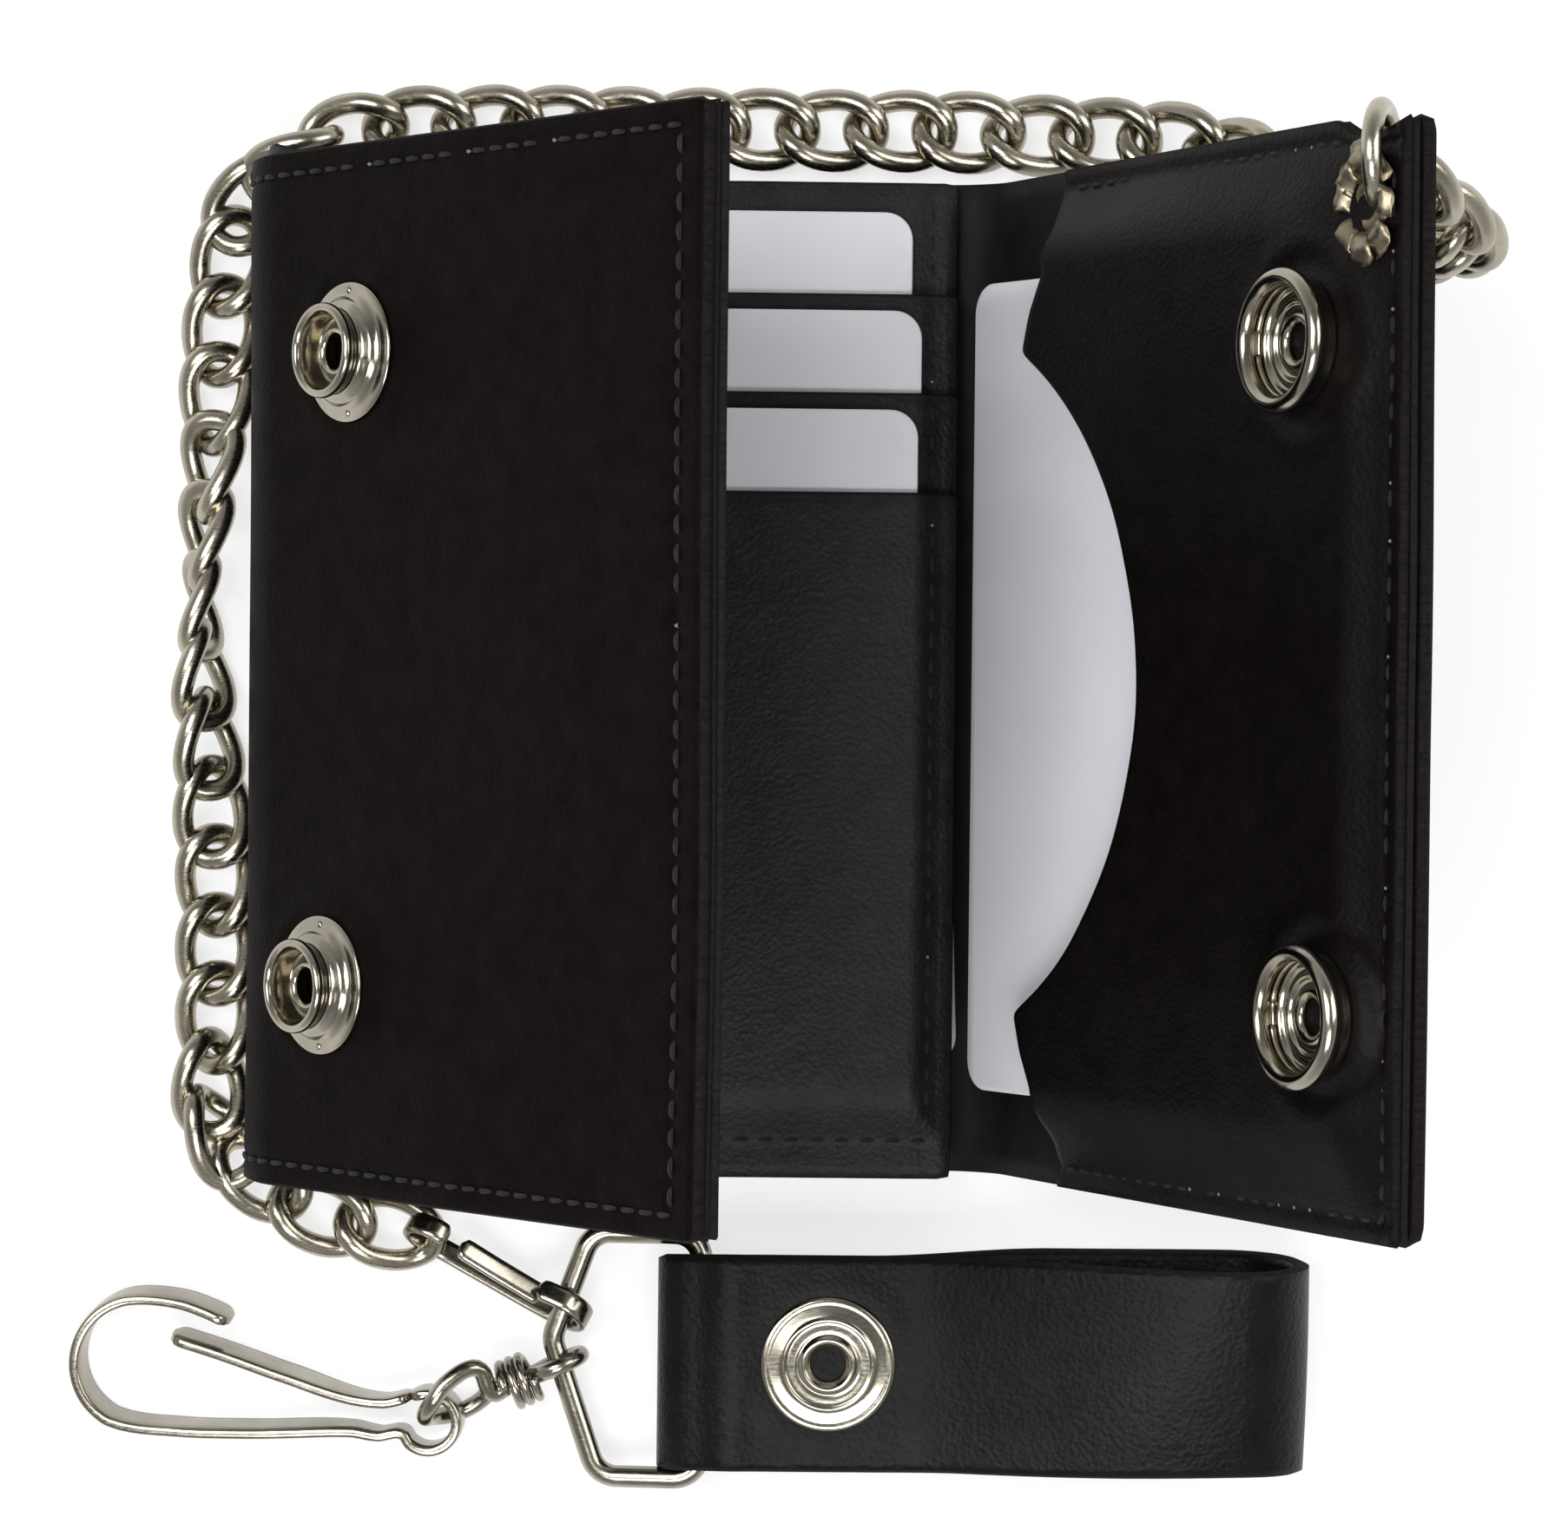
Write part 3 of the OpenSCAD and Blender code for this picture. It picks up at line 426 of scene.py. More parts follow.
def run_lengths(path):
    """How far along a path each of its points lies."""
    return np.concatenate([[0], np.cumsum(np.linalg.norm(np.diff(path, axis=0), axis=1))])


def headings(path):
    """The unit way along a path at each of its points."""
    way = np.gradient(path, axis=0)
    return way / np.linalg.norm(way, axis=1)[:, None]


def sew(name, face, rows, specks, seed):
    """Lockstitches along rows of (s, y) corners on a face, sunk at both ends, as one piece."""
    draw = random.Random(seed)
    points, faces, flat, second = [], [], [], []
    sides, rings = 6, 7
    t = np.linspace(-1, 1, rings)
    for row in rows:
        row = np.array(row, float)
        runs = run_lengths(row)
        count = max(1, round(runs[-1] / stitch_pitch))
        for k in range(count):
            pale = draw.random() < specks
            reach, shift, share = (0.10, 0.46, 0.75) if pale else (0.40, 0, 1.0)
            at = (k + 0.5) * runs[-1] / count + t * (stitch_pitch * reach) + stitch_pitch * shift
            s, y = np.interp(at, runs, row[:, 0]), np.interp(at, runs, row[:, 1])
            bow = stitch_bow - stitch_sink * np.abs(t) ** 3
            centre, above = face(s, y, bow - 0.12), face(s, y, bow + 0.88)
            out = above - centre
            across = np.cross(headings(centre), out)
            size = stitch_radius * (1 - 0.5 * np.abs(t) ** 4) * share
            made = tube_faces(rings, sides, len(points))
            for i in range(rings):
                for j in range(sides):
                    a = 2 * math.pi * j / sides
                    way_out = math.cos(a) * out[i] * stitch_flat + math.sin(a) * across[i]
                    points.append(centre[i] + size[i] * way_out)
                    flat.append((at[i] * 4, j * 2.0))
            faces += made
            second += [pale] * len(made)
    return make_piece(name, points, faces, [thread, thread_speck], second, flat)


seam_left = sew("cover_left_seam", left_face, [
    [(left_row_from, edge_seam_y), (left_seam_s, edge_seam_y), (left_seam_s, -edge_seam_y),
     (left_row_from, -edge_seam_y)]], few_specks, seed=11)
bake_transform(seam_left)
seam_right = sew("cover_right_seam", right_face, [
    [(right_row_from, edge_seam_y), (right_row_to, edge_seam_y)],
    [(right_seam_s, edge_seam_y - ring_clear), (right_seam_s, -edge_seam_y), (right_row_from, -edge_seam_y)]],
    few_specks, seed=12)
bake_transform(seam_right)

# Bill lining: a thin split-leather sheet that closes the bill pocket. It is sewn to the cover at the
# flap ends and along the bottom hem, and stays open along the top.
lining_thickness, lining_rim, bill_gap, flap_closes = 0.6, 0.2, 2.3, 0.65
proud_height, proud_from, proud_width = 1.7, 6, 6.5
lining_hide = leather("lining_hide", dark=(0.0055, 0.0055, 0.0055), light=(0.013, 0.013, 0.0125),
                      rough=(0.5, 0.65), grain=0.5, grain_depth=0.06, specular=0.12)
lining_edge = cut_edge("lining_edge", (0.005, 0.0047, 0.0045), (0.014, 0.0132, 0.0125))


def lining_depth(fold_start, flap_start):
    """The lining stands off the middle panel by the bill gap and closes up on the flap."""
    return lambda s, y: bill_gap - flap_closes * ramp(fold_start, flap_start, s)


def proud(face, at):
    """A face whose free top edge stands a little proud of the cover where the sheet bends."""
    def place(s, y, out=0.0):
        rise = proud_height * ramp(half_height - proud_from, half_height, y) * ridge(at, proud_width, s)
        return face(s, y + rise, out)
    return place


lining_rows = lines(-half_height + 0.2, half_height - 0.2, 2.2)
left_lining_face = proud(skin(left_course, lining_depth(-left_fold_x, left_start), left_lift), left_start - 6)
lining_left = sheet("bill_lining_left_sheet", [lining_hide, lining_edge], left_lining_face,
                    lines(0, left_start + left_reach - 0.4, 2.2), lining_rows, lining_thickness,
                    rim=lining_rim)
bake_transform(lining_left)
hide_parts("bill_lining_left", "lining_fold_left", "bill_lining_middle")
right_lining_face = nipped(skin(right_course, lining_depth(right_fold_x, right_start), right_lift),
                           right_start + eyelet_place[0])
lining_right = sheet("bill_lining_right_sheet", [lining_hide, lining_edge], right_lining_face,
                     lines(0, right_start + right_reach - 0.4, 2.0), lining_rows, lining_thickness,
                     rim=lining_rim)
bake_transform(lining_right)
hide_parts("bill_lining_right", "lining_fold_right", "bill_lining_middle")

# Bottom hem: a turned strip of lining between the cover and the lining of the middle panel, which
# closes the foot of the bill pocket. It is sewn through both.
hem_width, hem_height, hem_rise, hem_thickness = 3.0, 1.42, 0.86, 0.84
hem_length = right_fold_x - left_fold_x
hem_course = course(left_fold_x, hem_height, 0, [(hem_length, 0)], 1)
hem_face = skin(hem_course, -hem_rise, lambda s, y: 0.03 * unevenness(s, y, 6, 3.0))
bill_hem = sheet("bill_pocket_hem", [lining_hide, lining_edge], hem_face, lines(0, hem_length, 2.0),
                 lines(-half_height + 0.2, -half_height + hem_width, 0.7), hem_thickness, rim=0.3)
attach(bill_hem, "wallet")
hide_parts("bill_lining_middle")

# Card slots: a backing and three stepped pockets of pebbled lambskin on the middle panel, each
# mouth cut raw and pared thin. They are sewn together down the right side and along the foot.
slot_left, slot_right = -28.0, 33.5
slot_width = slot_right - slot_left
slot_seam_x, slot_seam_y, side_sinks_from = 30.7, -49.8, 28.8
pocket_thickness, pocket_rim, mouth_pared = 0.95, 0.25, 0.16
seam_hold, seam_hold_width = 0.12, 0.8
pocket_hide = leather("pocket_hide", dark=(0.0048, 0.0052, 0.0052), light=(0.0135, 0.014, 0.0137),
                      rough=(0.36, 0.46), grain=0.5, grain_depth=0.15, specular=0.13)
pocket_edge = cut_edge("pocket_edge", (0.005, 0.005, 0.005), (0.017, 0.0165, 0.016))


def slot_sink(drop):
    """Draws a layer down where the side and foot seams hold the stack together."""
    def lift(s, y):
        x = s + slot_left
        side = ramp(side_sinks_from, slot_seam_x + 1.8, x)
        foot = ramp(slot_seam_y + 5.5, slot_seam_y - 1.4, y)
        held = seam_hold * (ridge(slot_seam_x, seam_hold_width, x) + ridge(slot_seam_y, seam_hold_width, y))
        return -drop * np.maximum(side, foot) - held + 0.10 * unevenness(s, y, 17, drop + 4)
    return lift


def mouth_roll(mouth):
    """The cut mouth of a slot: pared thinner towards its edge, with a faint wave."""
    return lambda s, y: -mouth_pared * ramp(mouth - 1.6, mouth, y) + 0.05 * unevenness(s, y, 4, mouth)


slot_faces = []
for name, stands_for, height, thickness, mouth, drop in (
        ("slot_backing", "card_backing", 4.2, 1.8, half_height - 0.3, 0.12),
        ("slot_top", "slot_pocket_top", 7.31, pocket_thickness, 41.4, 0.5),
        ("slot_middle", "slot_pocket_middle", 9.56, pocket_thickness, 30.6, 1.2),
        ("slot_bottom", "slot_pocket_bottom", 11.81, pocket_thickness, 19.8, 1.9)):
    slot_faces.append(skin(course(slot_left, height, 0, [(slot_width, 0)], 1), -thickness, slot_sink(drop)))
    layer = sheet(name, [pocket_hide, pocket_edge], slot_faces[-1],
                  lines(0, slot_width, 1.5, (slot_seam_x - slot_left, 2.2, 0.5)),
                  lines(-half_height, mouth, 1.5, (mouth, 3.2, 0.4), (slot_seam_y, 3, 0.6)), thickness,
                  press=mouth_roll(mouth), corner=0.8, rim=pocket_rim)
    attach(layer, "wallet")
    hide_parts(stands_for)

seam_s = slot_seam_x - slot_left
for place, face, row, seed in (
        ("top", slot_faces[0], [(seam_s, 51.5), (seam_s, 42.6)], 21),
        ("upper", slot_faces[1], [(seam_s, 40.6), (seam_s, 31.8)], 22),
        ("middle", slot_faces[2], [(seam_s, 29.8), (seam_s, 21.0)], 23),
        ("lower", slot_faces[3], [(seam_s, 19.0), (seam_s, slot_seam_y), (2.0, slot_seam_y)], 31)):
    seam = sew(f"slot_seam_{place}", face, [row], few_specks, seed)
    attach(seam, "wallet")

# Left inner pocket: a plain pocket of the same lambskin inside the left flap, sewn round three sides
# by the flap's own seam and open towards the fold.
inner_mouth, inner_depth, inner_sag = 21.2, 2.5, 0.5
sag_from, sag_to, sag_side = (24, 30), (56, 44), (-48, -30)
flap_base = left_course(left_start)[:2], right_course(right_start)[:2]
inner_course = course(*flap_base[0], left_slope, [(left_reach, 0)], 1)


def inner_lift(s, y):
    """Follows the flap's waves a little and sags between its seams."""
    sag = inner_sag * ramp(*sag_from, s) * ramp(*sag_to, s) * ramp(*sag_side, y) * ramp(*sag_side, -y)
    return left_lift(s + left_start, y) * 0.6 - sag


inner_pocket = sheet("left_pocket", [pocket_hide, pocket_edge], skin(inner_course, inner_depth, inner_lift),
                     lines(inner_mouth, left_reach - 0.5, 1.8, (inner_mouth, 3, 0.6)),
                     lines(-half_height + 0.3, half_height - 0.3, 2.0), pocket_thickness, rim=pocket_rim)
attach(inner_pocket, "left_flap")
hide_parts("left_inner_pocket")

# Window pocket: smooth cowhide on the inner face of the right flap, with a half-round thumb cut.
# It rises over the card and is sewn to the flap along its top, foot and free edge.
window_edge, thumb_centre, thumb_radius, thumb_y, thumb_ease = 17.0, -3.4, 40.0, -0.6, 0.5
corner_y, corner_s = (34.3, 38.5, 42.5, 47.3, 49.8, 52.0, 54.0), (17.0, 18.2, 20.1, 19.1, 16.3, 14.2, 13.6)
card_foot_s, card_slope, over_foot, over_sewn = 55.8, math.radians(7.4), 5.5, 3.5
window_seam_s, window_seam_sink, window_specks, window_row_from, window_row_to = 75.3, 0.22, 0.16, 16.5, 67
window_free, snap_free, sides_held = (75.2, 69.5), (8.8, 7.0), (43.0, 53.0)
eyelet_hold, eyelet_hold_width = 0.85, 5.5
window_channel, window_channel_width = 0.25, 0.6
slack_run, slack_height, wave_height = (56, 40), 0.35, 0.12
moat_depth, moat_radius, moat_width = 0.45, 7.6, 0.9
lip_height, lip_radius, lip_width = 0.22, 9.9, 1.1
window_hide = leather("window_hide", dark=(0.0019, 0.0011, 0.0012), light=(0.0056, 0.004, 0.004),
                      rough=(0.40, 0.5), grain=0.5, grain_depth=0.13, specular=0.08)
window_course = course(*flap_base[1], right_slope, [(right_reach, 0)], 1)


def window_depth(s, y):
    """How far the pocket's upper face lies in from the cover's outer face."""
    over_card = over_foot + (card_foot_s - s) * math.tan(card_slope) * (s < card_foot_s)
    free = ramp(*window_free, s)
    for place in socket_places:
        free = np.maximum(free, ramp(*snap_free, from_snap(s, y, place)))
    free = free * (1 - eyelet_hold * ridge(0, eyelet_hold_width, from_snap(s, y, eyelet_place)))
    held = ramp(*sides_held, np.abs(y))
    return -(over_sewn + (over_card - over_sewn) * free * (1 - held))


def window_press(s, y):
    """The stitched channel, a moat with a raised lip round each socket and a few slack creases."""
    press = -window_channel * ridge(window_seam_s, window_channel_width, s)
    press = press - channel_depth * ridge(edge_seam_y, window_channel_width, np.abs(y))
    for place in socket_places:
        away = from_snap(s, y, place)
        press = press - moat_depth * ridge(moat_radius, moat_width, away)
        press = press + lip_height * ridge(lip_radius, lip_width, away)
    slack = slack_height * ramp(*slack_run, s)
    return press + slack * unevenness(s, y, 15, 5.0) + wave_height * unevenness(s, y, 9, 6.0)


def thumb_cut(y):
    """The pocket's free edge: straight at both ends, round between them."""
    round_part = thumb_centre + np.sqrt(np.maximum(thumb_radius ** 2 - (y - thumb_y) ** 2, 0))
    corner = np.interp(np.abs(y - thumb_y), corner_y, corner_s)
    step = np.abs(corner - round_part)
    return np.maximum(corner, round_part) + thumb_ease * np.log1p(np.exp(-step / thumb_ease))


window_face = nipped(skin(window_course, window_depth), eyelet_place[0])
thumb_corner = math.sqrt(thumb_radius ** 2 - (window_edge - thumb_centre) ** 2)
window_pocket = sheet(
    "window_flap_pocket", [window_hide, cover_edge], window_face,
    lines(window_edge, right_reach - 0.4, 1.2, (65, 12, 0.7), (window_seam_s, 2, 0.45)),
    lines(-half_height + 0.2, half_height - 0.2, 1.3, *edge_close, (snap_y, 12, 0.8), (-snap_y, 12, 0.8),
          (thumb_corner, 2, 0.4), (-thumb_corner, 2, 0.4)),
    pocket_thickness, press=window_press, start=thumb_cut, rim=0.3)
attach(window_pocket, "right_flap")
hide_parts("window_pocket")
window_seam = sew("window_seam", lambda s, y, out: window_face(s, y, out - window_seam_sink), [
    [(window_row_from, edge_seam_y), (window_row_to, edge_seam_y)],
    [(window_seam_s, edge_seam_y - ring_clear), (window_seam_s, -edge_seam_y),
     (window_row_from, -edge_seam_y)]], window_specks, seed=41)
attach(window_seam, "right_flap")

# Cards: plain white plastic dummies with rounded corners, three short ones in the slots, a spare
# behind them and a full one in the window pocket. Each lies loose in its pocket.
card_width, card_length, insert_length, card_thickness, card_corner = 54.0, 85.6, 70.0, 0.8, 3.0
card_ease, corner_steps = 0.12, 8
card_plastic, card_shader = new_finish("card_plastic", (0.55, 0.56, 0.59), 0.36, specular=0.4)


def own_lay(finish):
    """Places in the piece itself, in metres."""
    return node(finish, "ShaderNodeTexCoord").outputs["Object"]


card_lay = own_lay(card_plastic)
card_cloud = clouds(card_plastic, card_lay, scale=28.0, detail=4.0, roughness=0.55)
card_tooth = clouds(card_plastic, card_lay, scale=2600.0, detail=2.0)
tint(card_plastic, card_shader.inputs["Base Color"], card_cloud, (0.52, 0.53, 0.56), (0.60, 0.605, 0.63),
     0.25, 0.75)
join(card_plastic, spread(card_plastic, card_cloud, 0.3, 0.42), card_shader.inputs["Roughness"])
relief(card_plastic, card_shader, (card_tooth, 0.01, 0.3))


def card_blank(length):
    """A thin plate with rounded corners and softened edges."""
    outline = []
    near, right, far = card_corner, card_width - card_corner, length - card_corner
    for cx, cy, turn in ((right, far, 0), (near, far, 90), (near, near, 180), (right, near, 270)):
        for step in range(corner_steps + 1):
            a = math.radians(turn + step * 90 / corner_steps)
            outline.append((cx + card_corner * math.cos(a), cy + card_corner * math.sin(a)))
    outline = np.array(outline)
    middle = np.array([card_width / 2, length / 2])
    points = []
    for drawn_in, z in ((card_ease, 0), (0, card_ease), (0, card_thickness - card_ease),
                        (card_ease, card_thickness)):
        ring = middle + (outline - middle) * (1 - drawn_in / (card_width / 2))
        points += [(x, y, z) for x, y in ring]
    return np.array(points), tube_faces(4, len(outline))


def fit(name, part, finish, body, stands_for, at=None):
    """A piece of one finish that rides on a body and is shown for a node of the frame."""
    piece = make_piece(name, *part, [finish], at=at)
    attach(piece, body)
    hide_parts(stands_for)


def flap_place(side, s, y, n):
    """A frame on a flap: X to the free edge, Y up the wallet, Z out of the visible face."""
    slope = math.radians((left_slope, right_slope)[side])
    x, z = flap_base[side]
    frame_at = Matrix.Translation((float(x), 0, float(z))) @ Matrix.Rotation(-slope, 4, "Y")
    return frame_at @ Matrix.Translation((s, y, n))


def slot_place(left, top, height):
    """Where a short card lies in its slot."""
    return Matrix.Translation((left, top - insert_length, height))


spare_at = Matrix.Translation((-19.6, -43.8, 3.38)) @ Matrix.Rotation(math.radians(2.0), 4, "Z")
window_at = flap_place(1, 5.8, -43.8, 8.9) @ Matrix.Rotation(math.asin(6.4 / card_width), 4, "Y")
for name, node_name, length, at in (
        ("slot_card_top", "card_top", insert_length, slot_place(-25.5, 50.3, 6.26)),
        ("slot_card_middle", "card_middle", insert_length, slot_place(-24.5, 39.5, 8.51)),
        ("slot_card_bottom", "card_bottom", insert_length, slot_place(-24.9, 28.7, 10.76)),
        ("back_card", "spare_card", card_length, spare_at),
        ("window_insert", "window_card", card_length, window_at)):
    fit(name, card_blank(length), card_plastic, node_name, node_name, at)

# Flap snaps: nickel-plated brass line snaps, pressed from sheet. Two studs sit on the left flap on
# hollow posts; two spring sockets on the right flap are riveted through to domed caps.
snap_radius, snap_bore, stud_stretch, post_foot, socket_foot = 7.2, 1.75, 1.19, -2.95, 5.5
spring_radius, spring_height, spring_wire, spring_sweep = 5.55, 1.5, 0.33, 338


def plated(name, dark, light, rough):
    """Nickel plate: warm grey metal with faint cloudiness, fine scratches and an uneven shine."""
    finish, shader = new_finish(name, dark, rough[0], metallic=1.0)
    lay = own_lay(finish)
    scratch_lay = node(finish, "ShaderNodeMapping", Vector=lay, Scale=(900.0, 5200.0, 2400.0),
                       Rotation=(0.4, 0.3, 0.7)).outputs["Vector"]
    scratch = clouds(finish, scratch_lay, scale=1.0, detail=3.0, roughness=0.7)
    bloom = clouds(finish, lay, scale=160.0, detail=4.0)
    tint(finish, shader.inputs["Base Color"], bloom, dark, light, 0.25, 0.7)
    join(finish, spread(finish, scratch, *rough), shader.inputs["Roughness"])
    relief(finish, shader, (scratch, 0.012, 0.25))
    return finish


snap_nickel = plated("snap_nickel", dark=(0.25, 0.232, 0.185), light=(0.40, 0.372, 0.305), rough=(0.12, 0.24))
spring_steel = plated("spring_steel", dark=(0.3, 0.265, 0.2), light=(0.42, 0.38, 0.3), rough=(0.16, 0.28))


def soften(outline, rounds=2):
    """Rounds the corners of a closed outline by cutting them."""
    outline = np.array(outline, float)
    for _ in range(rounds):
        after = np.roll(outline, -1, axis=0)
        outline = np.stack([outline * 0.75 + after * 0.25, outline * 0.25 + after * 0.75], 1).reshape(-1, 2)
    return outline


def turned(outline, sides=64, sweep=360.0, start=0.0):
    """A ring of metal turned from a closed (radius, height) outline about Z, whole or as a split ring."""
    whole = sweep >= 360
    steps = sides if whole else sides + 1
    points = []
    for k in range(steps):
        a = math.radians(start + sweep * k / sides)
        points += [(r * math.cos(a), r * math.sin(a), z) for r, z in outline]
    return np.array(points), tube_faces(steps, len(outline), closed=whole)


def domed(outline, sides=64):
    """A cap turned from an open (radius, height) outline that starts and ends on the axis."""
    rings = outline[1:-1]
    turns = [2 * math.pi * k / sides for k in range(sides)]
    points = [(0, 0, outline[0][1])]
    points += [(r * math.cos(a), r * math.sin(a), z) for r, z in rings for a in turns]
    points.append((0, 0, outline[-1][1]))
    faces = tube_faces(len(rings), sides, 1)[:-2]
    last = 1 + (len(rings) - 1) * sides
    for k in range(sides):
        n = (k + 1) % sides
        faces += [(0, 1 + n, 1 + k), (len(points) - 1, last + k, last + n)]
    return np.array(points), faces


def gather(parts):
    """Several (points, faces) as one."""
    points, faces = [], []
    for some, made in parts:
        faces += [tuple(i + sum(map(len, points)) for i in face) for face in made]
        points.append(np.asarray(some, float))
    return np.concatenate(points), faces


def placed(part, at):
    """Points and faces moved by a matrix."""
    points, faces = part
    turn = np.array(at.to_3x3())
    return np.asarray(points) @ turn.T + np.array(at.translation), faces


stud_outline = soften([
    (snap_bore, 0), (7.2, 0), (7.2, 0.42), (6.7, 0.52), (5.9, 0.58), (5.5, 0.9), (5.3, 1.25), (4.6, 1.5),
    (4.35, 1.75), (4.32, 2.25), (4.75, 2.55), (4.9, 2.85), (4.85, 3.25), (4.55, 3.5), (4.15, 3.5), (3.9, 3.2),
    (3.75, 2.4), (3.62, 1.35), (3.3, 1.1), (2.75, 1.1), (2.65, 1.7), (2.35, 1.95), (2.0, 1.9),
    (snap_bore, 1.6)])
pip = domed([(0, 0.75), (0.18, 0.74), (0.34, 0.62), (0.42, 0.4), (0.4, 0.2), (0, 0.2)], 12)
post_outline = soften([
    (snap_bore, 0.2), (snap_bore, 2.9), (2.15, 2.9), (2.2, 0.75), (5.3, 0.65), (5.4, 0.35), (5.0, 0.0),
    (3.2, 0.05), (2.6, 0.0), (2.1, 0.0)], 1)
socket_outline = soften([
    (snap_bore, -0.25), (6.2, -0.25), (6.35, 0.6), (6.4, 1.3), (6.75, 1.6), (7.05, 2.1), (7.1, 2.7),
    (6.8, 3.2), (6.3, 3.45), (5.8, 3.35), (5.45, 3.0), (5.3, 2.5), (5.35, 2.0), (5.95, 1.95), (5.95, 1.05),
    (5.25, 1.0), (5.0, 0.5), (4.55, 0.35), (4.35, 0.75), (3.85, 0.8), (3.6, 0.35), (3.1, 0.3), (2.85, 0.75),
    (2.3, 0.85), (snap_bore, 0.5)])
cap_outline = [
    (0, 5.45), (2.0, 5.45), (2.15, 5.3), (2.2, 0.1), (6.9, 0.05), (7.15, -0.1), (7.2, -0.4), (7.0, -0.95),
    (6.3, -1.6), (5.0, -2.1), (3.3, -2.34), (1.5, -2.4), (0, -2.4)]
spring_outline = [(spring_radius + spring_wire * math.cos(math.radians(a)),
                   spring_height + spring_wire * math.sin(math.radians(a))) for a in range(0, 360, 36)]


def stud(at):
    """The male half of a snap, its flange marked by two small pips."""
    pips = [placed(pip, at @ Matrix.Translation((0.4, side, 0))) for side in (-6.3, 6.3)]
    return [placed(turned(stud_outline), at)] + pips


def on_flap(part, side, places, n):
    """The same part at each place on a flap."""
    return gather([placed(part, flap_place(side, s, y, n)) for s, y in places])


stud_height = Matrix.Diagonal((1, 1, stud_stretch, 1))
stud_pair = gather([part for s, y in stud_places for part in stud(flap_place(0, s, y, 0) @ stud_height)])
split_ring = turned(spring_outline, 60, spring_sweep, 191)
fit("snap_studs", stud_pair, snap_nickel, "left_flap", "flap_studs")
fit("snap_posts", on_flap(turned(post_outline), 0, stud_places, post_foot), snap_nickel,
    "left_flap", "stud_posts")
fit("snap_sockets", on_flap(turned(socket_outline), 1, socket_places, socket_foot), snap_nickel,
    "right_flap", "flap_sockets")
fit("snap_springs", on_flap(split_ring, 1, socket_places, socket_foot), spring_steel,
    "right_flap", "socket_springs")
fit("snap_domes", on_flap(domed(cap_outline), 1, socket_places, 0), snap_nickel,
    "right_flap", "snap_caps")

# Chain eyelet: a brass tube eyelet through the top corner of the right flap. Its flange sits on the
# outside and its barrel is split and hammered back into a ragged star on the inside.
eyelet_bore, eyelet_radius, petal_thickness, petal_height = 2.25, 2.75, 0.32, 4.1
petal_hump, petal_tilt, petal_crumple, petal_taper = 0.9, 0.35, 0.16, 0.4
petal_reaches = (2.6, 3.5, 4.1, 3.1, 2.8, 3.7, 4.4, 3.5)
eyelet_brass = plated("eyelet_brass", dark=(0.14, 0.115, 0.075), light=(0.34, 0.295, 0.21), rough=(0.3, 0.5))
barrel_outline = soften([
    (eyelet_bore, -0.6), (3.75, -0.55), (3.75, -0.15), (eyelet_radius, 0.0), (eyelet_radius, 2.4),
    (eyelet_radius + 0.5, 3.75), (eyelet_bore, 3.95), (1.35, 3.85), (1.3, 3.6), (eyelet_bore, 3.55)], 1)


def torn_petal(turn, width, reach, curl):
    """One split tongue of the barrel, bent out over the leather and crumpled."""
    across, rows = 5, 7
    points = []
    for lower in (0.0, -petal_thickness):
        for i in range(rows):
            t = i / (rows - 1)
            bend = math.sin(t * curl)
            r = eyelet_bore + 0.3 + reach * bend / curl + lower * bend
            n = (petal_height + petal_hump * math.sin(math.pi * min(1, t * 1.15))
                 + petal_tilt * t * math.sin(3 * turn) + lower)
            for j in range(across):
                side = (j / (across - 1) - 0.5) * width * (1 - petal_taper * t ** 1.5)
                a = turn + (side + 0.1 * math.sin(5 * t + turn))
                crumple = petal_crumple * math.sin(2.1 * i + 1.7 * j + 5 * turn)
                points.append((r * math.cos(a), r * math.sin(a), n + crumple))
    grid = rows * across
    faces, edge = two_skins(rows, across)
    faces += [(a, grid + a, grid + b, b) for a, b in zip(edge, edge[1:] + edge[:1])]
    return np.array(points), faces


petal_draw = random.Random(5)
petals = [torn_petal(2 * math.pi * k / len(petal_reaches) + petal_draw.uniform(-0.2, 0.2),
                     petal_draw.uniform(0.74, 0.96), reach + petal_draw.uniform(-0.3, 0.3),
                     petal_draw.uniform(0.5, 1.1)) for k, reach in enumerate(petal_reaches)]
fit("eyelet_star", gather([turned(barrel_outline, 40)] + petals), eyelet_brass, "right_flap", "chain_eyelet",
    flap_place(1, *eyelet_place, 0))

# End ring: a round jump ring of nickel-plated wire, closed with a butt joint, that passes through
# the eyelet and over the top edge of the flap and carries the last link.
ring_wire, ring_centre, ring_high, ring_deep, ring_lean = 2.0, (71.6, 49.7, 2.2), 4.7, 5.4, 45.0
ring_gap, ring_joint, ring_steps = math.radians(1.2), 2.2, 72
chain_nickel = plated("chain_nickel", dark=(0.27, 0.245, 0.19), light=(0.46, 0.425, 0.345),
                      rough=(0.18, 0.32))


